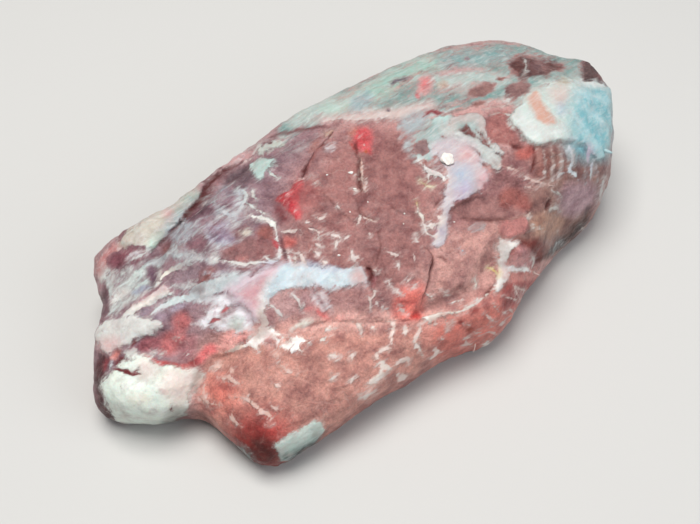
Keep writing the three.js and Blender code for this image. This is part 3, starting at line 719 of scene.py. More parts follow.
# Upright streaks on the wall of the thick end: x, upper and lower y, tissue, tint and width.
WALL_STREAKS = (
    (540, 150, 178, "LEAN", "#b3837a", 1.0), (544, 151, 182, "FILM", "#b8a199", 1.0),
    (548, 148, 186, "LEAN", "#7d4f48", 1.0), (552, 147, 180, "FILM", "#c0aaa2", 1.2),
    (556, 146, 188, "LEAN", "#86574f", 1.0), (561, 146, 176, "FILM", "#b9aba6", 1.3),
    (565, 150, 192, "LEAN", "#8a5f5a", 1.1), (574, 150, 170, "FILM", "#a9a2a2", 1.2),
    (579, 156, 196, "LEAN", "#855c5c", 1.1), (584, 158, 184, "FILM", "#b3b0b6", 1.2),
    (588, 164, 206, "LEAN", "#7e5a60", 1.1), (597, 164, 198, "FILM", "#a9a0a6", 1.1),
    (547, 214, 236, "LEAN", "#7f5648", 1.1), (556, 216, 240, "FILM", "#b39a8c", 1.0),
    (567, 212, 232, "LEAN", "#86605a", 1.1),
)

# wall, dark foot is painted shade along the foot of the end wall, and grey rim patch is pale film painted
# dark grey in that shade.
THICK_MARKS = (*sheet("""
dark patch: LEAN #66403d 507,66 511,60 517,57 523,53 528,57 536,58 547,60 554,59 562,63 564,67 562,70
    553,71.6 550,77.5 543,77 537,76 528,78 520,80 517,75 511,71
dark patch, mauve middle: STAIN #8e6b6a e4 a0.8 530,72 532,60 546,61 548,74
web in the patch: FAT #b4b0ac w0.6 524,57 527,66 522,76
mauve under the patch: LEAN #93706d e1.6 503,99 506,88 516,80 532,79 532,90 524,96 514,100
pale blob in it: FAT #d2cfca w1.6 506.6,99.6 510,98.6
fat plateau: FAT #d3e1da r1 531,92 525,97 520,106 516,110 511,114 509,118 511.7,123 517,131 522,137
    527.5,142.5 533,147 539,149 547,144 558,142.5 572,141 580,144 586,152 594,159 606,158 610,140 610,100
    607,88 594,82 580,82 560,84 545,84
plateau, salmon oval: STAIN #ddae9c e1.6 533,93 537.5,94 540,100 545,110 550,116.7 552.5,122 550,127.5
    544,128 538,124 532.5,117 528,109 527.5,103 531,97
plateau, white: STAIN #dfe5e1 e4 a0.8 514,124 512,116 522,108 530,120 540,130 552,132 562,126 566,134
    552,140 536,144 524,138
plateau, bluish spot: STAIN #b3c6d2 a0.8 555,116 556,102 563,101 565,112 560,118
plateau, rosy: STAIN #dfc4bc e4 a0.7 549,104 550,88 566,86 570,100 560,106
plateau, tan: STAIN #c3a888 e2 a0.8 557,86 559,80 565,80 566,86
teal silverskin: STAIN #86c3cc e7 570,158 568,120 572,92 590,84 612,86 612,158 590,160
cyan streak: STAIN #c2e4e8 w1.4 e2.2 a0.75 571,114 584,130 600,151
cyan streak: STAIN #c2e4e8 w2.2 e2.2 a0.75 572,94 590,98 609,104
cyan streak: STAIN #c2e4e8 w2 e2.2 a0.75 576,104 592,116 608,132
cyan streak: STAIN #c2e4e8 w1.8 e2.2 a0.75 574,128 588,142 600,154
plateau, lower border: STAIN #8fa8ac w1 a0.7 571,141.7 580,143 587.5,151.7 594,159
thick corner, dark: LEAN #5f4a49 579,66 587,61 594,59 602,63 610,70 616,80 616,91 607,87 600,83.6 592,82.5
    583,84 581,79
thick corner, red: LEAN #8a5452 a0.8 597,80 599,68 607,73 614,83 613,88 604,84
line under the corner: FAT #dbe3e0 w0.9 580,85 592,84 602,86
end wall, red brown: LEAN #935f57 e3 536,176 537,152 546,150 550,158 548,176 542,182
wall line 1: FAT #cdd6dc w1 569,144 570,151 574,157 572,164 569,171 576,175 580,181
wall line 2: FAT #c8cfd3 w0.8 569,171.6 560,175 555,180
wall line 3: FAT #d3dbde w1.2 593.6,160 591,170 590,181
wall line 4: FAT #bdb3c4 w0.9 587,149 588,157 588,166
wall line 5: FAT #cfd3d2 w0.9 574.6,196 578,190 583,188 586.6,183
wall line 6: FAT #d8d6cf w1.2 553,190 562,196 567,203 572,208 578.6,213
wall line 7: FAT #d3c9c0 w1 545,213.6 550,210 556,207 562,213
wall line 8: FAT #cbb8ae w0.8 543,212 549.6,218.6
wall line 9: FAT #c4a99f w0.7 547,224.6 556.6,228.4
wall line 10: FAT #cdb3a8 w0.8 525.6,218.6 533.6,210.6
long thread: FAT #d9b6ac w0.9 520,173 526,177 534,180 540,182 548,184 554,186.4 557,181
"""), *sheet("\n".join(
    f"wall streak: {tissue} {tint} w{width} e{width} a0.6 {x},{top} {x + 1},{(top + low) / 2} {x},{low}"
    for x, top, low, tissue, tint, width in WALL_STREAKS)), *sheet("""
thread above it: FAT #cfaaa0 w0.6 503,165.6 522,172.4 / 527,185.6 535,189.4
pit: DEEP #6a3b30 w1.4 a0.8 r-1 552.6,198 549,203 545.6,211
recess: LEAN #966f67 e3 528,212 530,194 544,189 552,194 548,208 538,215
tan wall: LEAN #b38a77 e4 530,236 532,216 552,212 568,216 562,232 544,238
plum wall: LEAN #be9ca2 e4 560,214 562,186 586,182 602,190 592,208 574,218
wall fleck 1: FAT #d5cdc4 w0.8 538.6,229 541.6,229.4
wall fleck 2: FAT #d5cdc4 w0.7 532,228 534.6,228.2
wall, dark foot: LEAN #38201c w3 e2.4 590,208 584,224 566,240 548,255 530,262
grey rim patch: FAT #6e6c6a 549,254 552,244 562,238 567,241 558,250
rim fleck: FAT #c9c2bb w1 581.6,230 584.6,227.6
edge of the end: FAT #c6c0bc w0.8 604,178 602,192 600,202
right of the band: LEAN #7f3c36 500,262 504,242 524,238 546,240 545,256 530,262 516,256
pocket: LEAN #a37571 e1.6 448,210 460,200 470,198 485,196 500,198 515,205 525,207 530,213 520,216 510,220
    490,220 475,220 462,217 454,213
pocket, shadow: DEEP #6e4a44 w1.4 e1.6 a0.55 r-0.8 462,217.6 476,219.6 492,219.6 508,218.6
pocket, red brown roof: LEAN #a5645d 498,206 500,190 520,188 532,200 530,212 514,207
grey patch under it: FILM #a99a9a e1.6 a0.6 463,230 465,221 478,220 487,223 485,231 474,233
rounded muscle: LEAN #bb7d78 e1.4 r1 496,228 503,221 513,222 523,216 528,222 526,231 519,236 509,239 500,238
"""))

FLAP_MARKS = sheet("""
white fat band: FAT #ebe4de r0.7 497,238 505,240 513,241 518,243 520,247 522,254 519,255 515,250 511,254
    506,262 508,269 509,277 506,284 500,290 493,293 496,283 498,273 499,266 497,259 500,255 497,250 495,245
    498,242
band, rosy: STAIN #dba49e 503,280 504,260 508,262 509,276
small muscle: LEAN #dba09d r0.6 511,255 516,251 522,246 529,249 534,257 534,264 528,268 520,269 514,266
    508,264
small muscle, white edge: FAT #ddd2ca w0.7 531,253.6 534,260 532,267.6
white strip: FAT #fbf8f4 r0.4 508,266 513,265.5 518,268 525,268 530,269 535,272.4 520,273.4 509,272.4
flap face: LEAN #a85854 500,312 502,292 512,276 534,274 536,280 524,300 510,312
flap, salmon top: LEAN #c88880 e1.4 508,281 510,274 536,273.6 535,279 520,282
flap streak: FAT #d9bdb4 w0.6 512,284 520,290 527,290 / 505,296 514,300 519,300 / 500,326 505,321
dark red 1: LEAN #8a3d3a e1.4 470,315 471,309 477,308 478,313
dark red 2: LEAN #8a3d3a w1.5 458.6,322.6 463.6,322.4
orange red: LEAN #c2604c e1.4 467,334 468,330 473,330 473,334
ragged white edge: FAT #eae4dc 480,343.6 487.7,341 496,341 496,346 489,346.6 483,346
""")

PHOTO_MARKS = (*TONES, *FASCIA_MARKS, *THIN_END_MARKS, *LOBE_MARKS, *MIDDLE_MARKS, *FRONT_MARKS,
               *FOLD_MARKS, *THICK_MARKS, *FLAP_MARKS, *CUT_MARKS, *MARBLING)

CUTS = (
    Cut("left cut", "333,129 326,138.6 321,144 315.5,149.5 311,157 309,161 306,166 303.6,170.5 301,179",
        (1, 0.4), 1.6),
    Cut("middle cut", "358,152 359.4,159 360,164 359,170.5 360,177 361,182 362,192", (1, 0.1), 1.3),
    Cut("right cut", "424,246 429,250 433,255 433,259 431,267 429,273 429,277 426,288 423,294 422,300 "
        "420,306", (-1, -0.2), 1.5),
    Cut("step beside the right cut", "437,256 444,258.4 447,263", (0.2, -1), 0.7, 2.5),
    Cut("torn film", "420,164 424,168 429.5,172 441,175 445,181", (0.5, -1), 0.8, 3.0),
    Cut("edge over the pocket", "449,211 458,205 466,201 480,197", (-0.3, -1), 1.0, 4.0),
    Cut("lip under the pocket", "462,218 476,220 492,220 512,219 522,216", (0, 1), 1.2, 4.0),
    Cut("seam above the front muscle", "256,345 281,334 294,331.6 306,327 315,324 330,320.6 350,321.6 "
        "374,322 400,320.6 418,320 444,316 461,311 478,302 490,291", (0.3, -1), 0.5, 5.0),
    Cut("plateau of fat", "525,97 517,110 510,117 517,131 528,143 539,149 548,143 572,141 588,152",
        (0.6, -0.6), 0.9, 5.0),
)

# The hidden sides, in millimetres: along and up from behind, across and up at the thick end, and along
# and across from below. They are finished like what shows.

BACK_MARKS = sheet("""
back, silverskin: FILM #bcc6c1 e8 a0.8 -100,50 -80,20 -30,28 20,22 70,30 112,24 116,60 -100,60
back, silverskin at the top: FAT #a9bab4 e4 a0.8 r0 -60,62 -56,45 -10,43 30,46 70,43 100,45 116,41 116,62
back, fascia bands: FAT #c2d0c7 e1.6 -40,42 0,38 50,41 100,36 112,42 60,47 0,45 -40,48
back, second band: FAT #b3c3bd e1.6 -70,34 -30,31 20,33 60,28 66,31 20,37 -40,36
back, rim of fat: FAT #ddd6ca e1.4 r0.8 -104,36 -80,34 -52,38 -20,40 -24,46 -60,48 -104,46
back, lean windows: LEAN #8f6264 e3 -70,26 -48,20 -20,25 -8,20 -30,14 -64,16
back, lean foot: LEAN #a06a64 e4 -112,10 -60,13 0,9 60,14 112,8 112,-2 -112,-2
back, lean right: LEAN #94625f e3 34,26 58,20 92,24 84,14 50,12
back, fat seam: FAT #e2dcd0 e1.2 r0.6 -30,17 10,15 46,18 44,21 8,19 -28,21
back, vein 1: FAT #dcd7d0 w1.1 -66,21 -54,23 -46,19 -34,21
back, vein: FAT #dcd7d0 w0.9 40,22 52,18 60,20 74,16 / -84,12 -74,9 -66,12
back, crease: DEEP #7a4040 w1.2 e1.4 a0.7 -76,27 -50,29 -20,28 8,26
back, blood: STAIN #c06a68 e4 a0.6 60,36 72,33 78,38 66,41
""")

THICK_END_MARKS = sheet("""
end, silverskin: FILM #aac6ca e6 a0.8 -34,56 -30,26 10,30 50,26 52,56
end, fat: FAT #cfe0dc e1.6 r0.8 -26,54 -24,40 -4,36 14,41 26,54
end, fat low: FAT #d8d2c8 e1.4 r0.5 -44,20 -20,17 12,21 36,16 36,20 8,25 -24,23
end, lean: LEAN #96685f e4 -46,16 -20,13 20,16 46,11 46,-2 -46,-2
end, lean window: LEAN #8e6663 e3 2,35 18,31 38,34 28,26 6,27
end, thread 1: FAT #d5cdc6 w1 -36,12 -24,9 -14,12 -2,8
end, thread 2: FAT #d5cdc6 w0.9 8,12 20,8 30,11
end, crease: DEEP #70403c w1.1 e1.4 a0.6 -30,27 -8,29 14,26 34,28
""")

UNDER_MARKS = sheet("""
sole, silverskin: FILM #c9cfcb e8 a0.5 -90,30 -40,10 30,16 90,34 96,-10 30,-24 -50,-30 -96,0
sole, fat along the middle: FAT #e2dcd2 e1.6 -96,6 -50,-2 0,4 50,0 88,8 50,9 0,12 -50,8
sole, fat at the thin end: FAT #e8e4da e1.6 -110,14 -96,-8 -78,-4 -84,14 -98,24
sole, lean windows: LEAN #9b5f58 e4 -60,-12 -20,-20 24,-14 60,-18 50,-30 0,-36 -54,-30
sole, lean right: LEAN #a86f66 e4 40,30 70,20 96,26 84,44 52,44
sole, seam: DEEP #7a4440 w1.4 e1.6 a0.6 r0 -70,22 -30,26 20,24 66,16
sole, vein: FAT #ddd6ce w1.2 -50,-22 -36,-26 -20,-22 -6,-28 / 12,-24 28,-20 40,-26 / 30,34 46,38 60,34
""")


# ---------------------------------------------------------------------------------------------------
# Painting and carving


def inside_distance(places: np.ndarray, corners: np.ndarray) -> np.ndarray:
    """Measures how deep places lie inside a closed outline.

    Args:
        places: an array of flat places.
        corners: the outline's corners.

    Returns:
        The distance to the outline, positive inside it and negative outside.
    """
    nearest = np.full(len(places), np.inf)
    crossings = np.zeros(len(places), dtype=int)
    for start, end in zip(corners, np.roll(corners, -1, axis=0)):
        step = end - start
        length = max(float(step @ step), 1e-9)
        share = np.clip((places - start) @ step / length, 0, 1)
        nearest = np.minimum(nearest, np.linalg.norm(places - start - share[:, None] * step, axis=1))
        if start[1] != end[1]:
            between = (start[1] > places[:, 1]) != (end[1] > places[:, 1])
            crossing = start[0] + (places[:, 1] - start[1]) / (end[1] - start[1]) * step[0]
            crossings += between & (places[:, 0] < crossing)
    return np.where(crossings % 2 == 1, nearest, -nearest)


def path_distance(places: np.ndarray, corners: np.ndarray) -> tuple[np.ndarray, np.ndarray, np.ndarray]:
    """Measures how far places lie from an open path.

    Args:
        places: an array of flat places.
        corners: the path's corners.

    Returns:
        The distance, the share of the path's length at the nearest point, and the offset from there.
    """
    steps = np.diff(corners, axis=0)
    lengths = np.linalg.norm(steps, axis=1)
    runs = np.concatenate([[0.0], np.cumsum(lengths)])
    nearest = np.full(len(places), np.inf)
    along = np.zeros(len(places))
    across = np.zeros((len(places), 2))
    for start, step, length, run in zip(corners, steps, lengths, runs):
        share = np.clip((places - start) @ step / max(length * length, 1e-9), 0, 1)
        offset = places - start - share[:, None] * step
        distance = np.linalg.norm(offset, axis=1)
        closer = distance < nearest
        nearest[closer] = distance[closer]
        along[closer] = (run + share * length)[closer] / runs[-1]
        across[closer] = offset[closer]
    return nearest, along, across


def turbulence(places: np.ndarray, size: float, seed: float = 0.0) -> np.ndarray:
    """Gives three numbers from about -1 to 1 at each place, that wander over a given size."""
    move = Vector((seed, -seed, seed * 0.5))
    return np.array([noise.noise_vector(Vector(place) / size + move) for place in places])


@dataclass
class Painter:
    """Lays marks on a skin's points, one over the other, and sums how far they move the skin."""

    places: np.ndarray
    normals: np.ndarray
    bare: tuple[str, str] = ("#a07a74", "#d4d0c8")
    wander: tuple[float, float] = (0.85, 0.5)
    wander_size: tuple[float, float] = (4.5, 1.5)
    tight_seed: float = 7.3
    swelling: tuple[float, float] = (0.35, 0.5)
    taper: float = 0.35
    thin_end: float = 0.25
    halo: float = 0.42
    halo_reach: float = 2.6
    fattening: float = 0.1
    margin: float = 3.0
    cut_wander: float = 0.6
    cut_taper: float = 0.18

    def __post_init__(self) -> None:
        """Starts every point as bare lean meat with nothing over it."""
        count = len(self.places)
        self.lean, self.pale = (np.tile(linear(tint), (count, 1)) for tint in self.bare)
        # deep holds how much painted crease shade lies on each point.
        self.cover, self.haze, self.deep, self.move = (np.zeros(count) for _ in range(4))
        broad = turbulence(self.places, self.wander_size[0])
        tight = turbulence(self.places, self.wander_size[1], self.tight_seed)
        self.stray = self.wander[0] * broad[:, :2] + self.wander[1] * tight[:, :2]
        self.swell = 1 + self.swelling[0] * broad[:, 2] + self.swelling[1] * tight[:, 2]

    def look(self, view: View) -> None:
        """Turns to another side, whose coordinates the next marks are given in."""
        self.unit = view.mm_per_unit
        self.seen = view.facing(self.normals)
        self.flat = view.flatten(self.places)

    def clear(self, lean: str, pale: str, haze: float) -> None:
        """Gives all that this side shows one ground of lean with a thin haze over it."""
        seen = self.seen[:, None]
        self.lean = self.lean * (1 - seen) + np.array(linear(lean)) * seen
        self.pale = self.pale * (1 - seen) + np.array(linear(pale)) * seen
        self.cover *= 1 - self.seen
        self.deep *= 1 - self.seen
        self.haze = self.haze * (1 - self.seen) + haze * self.seen

    def near(self, corners: np.ndarray, margin: float) -> np.ndarray:
        """Finds the points that a mark with these corners can reach."""
        low, high = corners.min(0) - margin, corners.max(0) + margin
        boxed = ((self.flat > low) & (self.flat < high)).all(axis=1)
        return np.flatnonzero(boxed & (self.seen > 0))

    def depth_in(self, mark: Mark, found: np.ndarray) -> np.ndarray:
        """Measures how deep points lie inside a mark, in millimetres."""
        loose = min(0.5, mark.width / 2) if mark.width else min(1.0, mark.edge + 0.4)
        places = self.flat[found] + self.stray[found] * loose / self.unit
        if not mark.width:
            return inside_distance(places, mark.points) * self.unit
        distance, along, _ = path_distance(places, mark.points)
        ends = smooth(0.0, self.taper, np.minimum(along, 1 - along))
        half = mark.width / 2 * (self.thin_end + (1 - self.thin_end) * ends) * self.swell[found]
        half += self.fattening if mark.tissue is FAT else 0.0
        return half - distance * self.unit

    def lay(self, mark: Mark) -> None:
        """Lays one mark over what is there."""
        found = self.near(mark.points, (mark.edge + mark.width + self.margin) / self.unit)
        if not len(found):
            return
        depth = self.depth_in(mark, found)
        amount = np.clip(0.5 + depth / mark.edge, 0, 1) * mark.amount * self.seen[found]
        spread = max(mark.edge, self.halo_reach) if mark.tissue is FAT else mark.edge
        ground = np.clip(1 + depth / spread, 0, 1) * min(1.0, mark.amount * 1.5) * self.seen[found]
        tint = np.array(linear(mark.tint)) if mark.tint else None
        if mark.tissue in (FAT, FILM):
            self.pale[found] += (tint - self.pale[found]) * ground[:, None]
        # Lean, stains and painted crease shade each tint the lean colour.
        if mark.tissue in (LEAN, STAIN, DEEP):
            self.lean[found] += (tint - self.lean[found]) * amount[:, None]
        if mark.tissue in (LEAN, DEEP):
            self.cover[found] *= 1 - amount
            self.haze[found] *= 1 - amount
        if mark.tissue is FAT:
            self.cover[found] += (1 - self.cover[found]) * amount
            fringe = self.halo * smooth(-self.halo_reach, 0.3, depth) * mark.amount * self.seen[found]
            self.haze[found] = np.maximum(self.haze[found], fringe)
        elif mark.tissue is FILM:
            self.haze[found] += (mark.amount - self.haze[found]) * (amount / mark.amount)
        elif mark.tissue is STAIN:
            self.pale[found] += (tint - self.pale[found]) * amount[:, None]
        elif mark.tissue is DEEP:
            # Painted crease shade: the share by which the material darkens this point.
            self.deep[found] = np.maximum(self.deep[found], amount)
        self.move[found] += mark.height * smooth(0, 1, amount) * mark.amount

    def cut(self, cut: Cut) -> None:
        """Raises one side of a knife cut and lowers the other."""
        found = self.near(cut.points, 4 * cut.fade / self.unit)
        if not len(found):
            return
        places = self.flat[found] + self.stray[found] * self.cut_wander / self.unit
        distance, along, across = path_distance(places, cut.points)
        side = np.sign(across @ np.array(cut.high)) * distance * self.unit
        ends = smooth(0.0, self.cut_taper, np.minimum(along, 1 - along))
        step = np.clip(side / cut.slope, -1, 1) * np.exp(-np.abs(side) / cut.fade)
        self.move[found] += cut.rise / 2 * step * ends * self.seen[found]

    def roughen(self, size: float, height: float, seed: float, lean_only: bool = False) -> None:
        """Adds an unevenness of one size to the skin.

        Args:
            size: the width of its lumps.
            height: how far they stand out.
            seed: which unevenness it is.
            lean_only: whether fat stays nearly smooth.
        """
        lumps = turbulence(self.places, size, seed)[:, 0]
        bare = 1 - 0.8 * smooth(0.3, 0.7, self.cover) if lean_only else 1.0
        self.move += height * lumps * bare


# ---------------------------------------------------------------------------------------------------
# Finishes

Span = tuple[float, float, float, float]
COLOURS = {"data_type": "RGBA"}
EASED = {"interpolation_type": "SMOOTHSTEP"}


def spread(span: Span) -> dict[int, float]:
    """Gives a Map Range node's inputs: the range that it reads and the range that comes out."""
    return dict(enumerate(span, 1))


def per_metre(size: float) -> float:
    """Turns the size of a pattern's repeat into a texture's scale."""
    return 1 / (size * MM)


@dataclass(frozen=True)
class Pattern:
    """A noise: the size of its lumps, how fine and how rough it is, and how far it is warped."""

    size: float
    detail: float
    roughness: float = 0.5
    warp: float = 0.0

    @property
    def inputs(self) -> dict[str, float]:
        """What a Noise Texture node is set to."""
        return {"Scale": per_metre(self.size), "Detail": self.detail, "Roughness": self.roughness,
                "Distortion": self.warp}


@dataclass
class Finish:
    """A material in the making: its nodes, and the places on the piece that its patterns read."""

    name: str
    tree: bpy.types.NodeTree = field(init=False)
    place: bpy.types.NodeSocket = field(init=False)

    def begin(self) -> bpy.types.Material:
        """Makes the material with no node but the one that gives the places."""
        material = bpy.data.materials.new(self.name)
        material.use_nodes = True
        self.tree = material.node_tree
        self.tree.nodes.clear()
        self.place = self.add_node("TexCoord", {}, "Object")
        return material

    def add_node(self, kind: str, given: dict, wanted: int | str = 0) -> bpy.types.NodeSocket | None:
        """Adds a shader node, sets it and links it.

        Args:
            kind: the node's type.
            given: sockets that feed its inputs and values that it is set to, by the name of a property,
                or else of an input or its number.
            wanted: the name or number of an output.

        Returns:
            That output, if the node has any.
        """
        node = self.tree.nodes.new(f"ShaderNode{kind}")
        for name, value in given.items():
            if isinstance(value, bpy.types.NodeSocket):
                self.tree.links.new(value, node.inputs[name])
            elif isinstance(name, str) and hasattr(node, name):
                setattr(node, name, value)
            else:
                node.inputs[name].default_value = value
        return node.outputs[wanted] if node.outputs else None


@dataclass
class RawPork(Finish):
    """Moist raw pork: lean of fine fibre bundles, with fat and silverskin where the skin says so.

    Water gives it an IOR of about 1.38 and a soft, broken sheen; light goes a few millimetres in and
    comes out warmer. Fat is smoother and waxier than the cut fibres, and silverskin is thin, bluish and
    drawn out along the muscle.
    """

    bundle: float = 5.2
    bend: float = 4.0
    bending: Pattern = Pattern(4.16, 3.0)
    grain: Pattern = Pattern(0.8, 5.0, 0.72)
    cloud: Pattern = Pattern(6.5, 6.0, 0.68)
    net: Pattern = Pattern(14.0, 3.0)
    torn: Pattern = Pattern(3.4, 6.0, 0.8, 0.6)
    thinning: Pattern = Pattern(5.0, 5.0, 0.66)
    streak: Pattern = Pattern(1.6, 6.0, 0.72, 0.7)
    patch: Pattern = Pattern(6.0, 5.0, 0.6, 0.8)
    lump: Pattern = Pattern(2.4, 3.0)
    streak_stretch: float = 5.0
    streak_turn: float = 8.0
    # What each pattern does: the range of it that counts, and what that becomes.
    tearing: Span = (0.25, 0.75, -0.46, 0.46)
    fraying: Span = (0.3, 0.7, -0.3, 0.3)
    fat_edge: Span = (0.24, 0.76, 0.0, 1.0)
    fat_found: Span = (0.02, 0.14, 0.0, 1.0)
    patching: Span = (0.3, 0.7, -0.3, 0.3)
    stranding: Span = (0.3, 0.7, -0.38, 0.38)
    film_edge: Span = (0.1, 0.95, 0.0, 0.94)
    film_found: Span = (0.01, 0.22, 0.0, 1.0)
    cloud_swing: Span = (0.3, 0.7, 1.3, 0.7)
    grain_swing: Span = (0.3, 0.7, 0.8, 1.23)
    dusk: Span = (0.46, 0.7, 0.0, 0.9)
    fibre_light: Span = (0.52, 0.72, 0.0, 0.14)
    netting: Span = (0.52, 0.72, 0.0, 0.24)
    net_line: Span = (0.0, 0.05, 1.0, 0.0)
    milk: Span = (0.46, 0.7, 0.0, 0.5)
    thin_fat: Span = (0.46, 0.74, 0.0, 0.42)
    bundle_rise: Span = (0.0, 0.3, 0.0, 0.5)
    roughness: Span = (0.0, 1.0, 0.36, 0.54)
    whiteness: tuple[float, float] = (0.72, 0.92)
    lump_rise: tuple[float, float] = (0.8, 0.5)
    lean_gain: float = 0.955
    pale_gain: float = 0.8
    white_gain: float = 0.96
    wax: float = 0.55
    # How far painted crease shade darkens the colour, and the dark red it darkens to.
    deepest: float = 0.85
    crease_shade_tint: str = "#541f1e"
    dusk_tint: str = "#dcc8d2"
    light_tint: str = "#e0b3a6"
    fleck_tint: str = "#dcc0b6"
    waxy_tint: str = "#d3b4ae"
    milk_tint: str = "#f2f4f2"
    sheen_of_water: float = 0.2
    light_depth: float = 1.2
    grain_height: float = 0.7

    def build(self) -> bpy.types.Material:
        """Makes the material."""
        material = self.begin()
        read = {name: self.add_node("Attribute", {"attribute_name": name}, kept) for name, kept in
                (("lean", "Color"), ("pale", "Color"), ("cover", "Fac"), ("haze", "Fac"), ("deep", "Fac"))}
        along = self.add_node("Mapping", {
            "Vector": self.place, "Rotation": (0.0, 0.0, math.radians(self.streak_turn)),
            "Scale": (1 / self.streak_stretch, 1.0, 1.0)})
        streaks = self.add_node("TexNoise", {"Vector": along, **self.streak.inputs})
        grain = self.add_node("TexNoise", {"Vector": self.place, **self.grain.inputs})
        bundles = self.bundles()
        share = self.pale_share(read, along, streaks)
        lean = self.gained(self.lean_colour(read, grain, bundles, streaks), self.lean_gain, self.lean_gain)
        pale = self.gained(self.pale_colour(read, streaks), self.pale_gain, self.white_gain)
        mixed = self.add_node("Mix", {**COLOURS, 0: share, 6: lean, 7: pale}, 2)
        # Painted crease shade: darkens the colour towards a dark red where the deep share says.
        deep = self.add_node("Math", {"operation": "MULTIPLY", 0: read["deep"], 1: self.deepest})
        dark = self.add_node("Mix", {**COLOURS, 0: deep, 6: mixed, 7: opaque(self.crease_shade_tint)}, 2)
        bump = self.add_node("Bump", {"Strength": 1.0, "Distance": self.grain_height * MM,
                                      "Height": self.height(share, grain, bundles)})
        rough = self.add_node("MapRange", {0: grain, **spread(self.roughness)})
        shader = self.add_node("BsdfPrincipled", {
            "IOR": 1.38, "Coat Weight": self.sheen_of_water, "Coat Roughness": 0.2, "Coat IOR": 1.33,
            "Specular IOR Level": 0.34, "Subsurface Weight": 0.15, "Subsurface Radius": (1.0, 0.38, 0.26),
            "Subsurface Scale": self.light_depth * MM, "Base Color": dark, "Roughness": rough,
            "Normal": bump})
        self.add_node("OutputMaterial", {"Surface": shader})
        return material

    def gained(self, colour: bpy.types.NodeSocket, gain: float, white_gain: float) -> bpy.types.NodeSocket:
        """Makes a colour lighter or darker, by one gain where it is dull and another where it is white."""
        light = self.add_node("RGBToBW", {0: colour})
        share = self.add_node("MapRange", {0: light, **spread((*self.whiteness, gain, white_gain))})
        return self.add_node("VectorMath", {"operation": "SCALE", 0: colour, "Scale": share})

    def bundles(self) -> bpy.types.NodeSocket:
        """Draws the bundles that the fibres lie in, a little coarser than they are."""
        wander = self.add_node("TexNoise", {"Vector": self.place, **self.bending.inputs}, "Color")
        bent = self.add_node("Mix", {"data_type": "VECTOR", 0: self.bend * MM, 4: self.place, 5: wander},
                             1)
        return self.add_node("TexVoronoi", {"feature": "DISTANCE_TO_EDGE", "Vector": bent,
                                            "Scale": per_metre(self.bundle)}, "Distance")

    def pale_share(self, read: dict[str, bpy.types.NodeSocket], along: bpy.types.NodeSocket,
                   streaks: bpy.types.NodeSocket) -> bpy.types.NodeSocket:
        """Says where fat or silverskin hides the lean: fat with a torn edge, silverskin in streaks."""
        shares = []
        for painted, where, pattern, broad, fine, edge, found in (
                ("cover", self.place, self.torn, self.tearing, self.fraying, self.fat_edge, self.fat_found),
                ("haze", along, self.patch, self.patching, self.stranding, self.film_edge,
                 self.film_found)):
            lumps = self.add_node("TexNoise", {"Vector": where, **pattern.inputs})
            lumps = self.add_node("MapRange", {0: lumps, **spread(broad)})
            strands = self.add_node("MapRange", {0: streaks, **spread(fine)})
            drift = self.add_node("Math", {"operation": "ADD", 0: lumps, 1: strands})
            moved = self.add_node("Math", {"operation": "ADD", 0: read[painted], 1: drift})
            edged = self.add_node("MapRange", {**EASED, 0: moved, **spread(edge)})
            there = self.add_node("MapRange", {0: read[painted], **spread(found)})
            shares.append(self.add_node("Math", {"operation": "MULTIPLY", 0: edged, 1: there}))
        return self.add_node("Math", {"operation": "MAXIMUM", 0: shares[0], 1: shares[1]})

    def lean_colour(self, read: dict[str, bpy.types.NodeSocket], grain: bpy.types.NodeSocket,
                    bundles: bpy.types.NodeSocket, streaks: bpy.types.NodeSocket) -> bpy.types.NodeSocket:
        """Colours the lean: the painted tone, clouded and grained, netted with thin pale lines."""
        clouds = self.add_node("TexNoise", {"Vector": self.place, **self.cloud.inputs})
        broad = self.add_node("MapRange", {0: clouds, **spread(self.cloud_swing)})
        fine = self.add_node("MapRange", {0: grain, **spread(self.grain_swing)})
        swing = self.add_node("Math", {"operation": "MULTIPLY", 0: broad, 1: fine})
        colour = self.add_node("VectorMath", {"operation": "SCALE", 0: read["lean"], "Scale": swing})
        dusk = self.add_node("MapRange", {0: clouds, **spread(self.dusk)})
        colour = self.add_node("Mix", {**COLOURS, "blend_type": "MULTIPLY", 0: dusk, 6: colour,
                                       7: opaque(self.dusk_tint)}, 2)
        light = self.add_node("MapRange", {0: streaks, **spread(self.fibre_light)})
        colour = self.add_node("Mix", {**COLOURS, 0: light, 6: colour, 7: opaque(self.light_tint)}, 2)
        nets = self.add_node("TexNoise", {"Vector": self.place, **self.net.inputs})
        netted = self.add_node("MapRange", {0: nets, **spread(self.netting)})
        thin = self.add_node("MapRange", {**EASED, 0: bundles, **spread(self.net_line)})
        share = self.add_node("Math", {"operation": "MULTIPLY", 0: netted, 1: thin})
        return self.add_node("Mix", {**COLOURS, 0: share, 6: colour, 7: opaque(self.fleck_tint)}, 2)

    def pale_colour(self, read: dict[str, bpy.types.NodeSocket], streaks: bpy.types.NodeSocket
                    ) -> bpy.types.NodeSocket:
        """Colours fat and silverskin: the painted tint in milky strands, faintly lean where it is thin."""
        milk = self.add_node("MapRange", {0: streaks, **spread(self.milk)})
        stranded = self.add_node("Mix", {**COLOURS, 0: milk, 6: read["pale"], 7: opaque(self.milk_tint)}, 2)
        thin = self.add_node("TexNoise", {"Vector": self.place, **self.thinning.inputs})
        share = self.add_node("MapRange", {0: thin, **spread(self.thin_fat)})
        waxy = self.add_node("Mix", {**COLOURS, 0: self.wax, 6: read["lean"], 7: opaque(self.waxy_tint)}, 2)
        return self.add_node("Mix", {**COLOURS, 0: share, 6: stranded, 7: waxy}, 2)

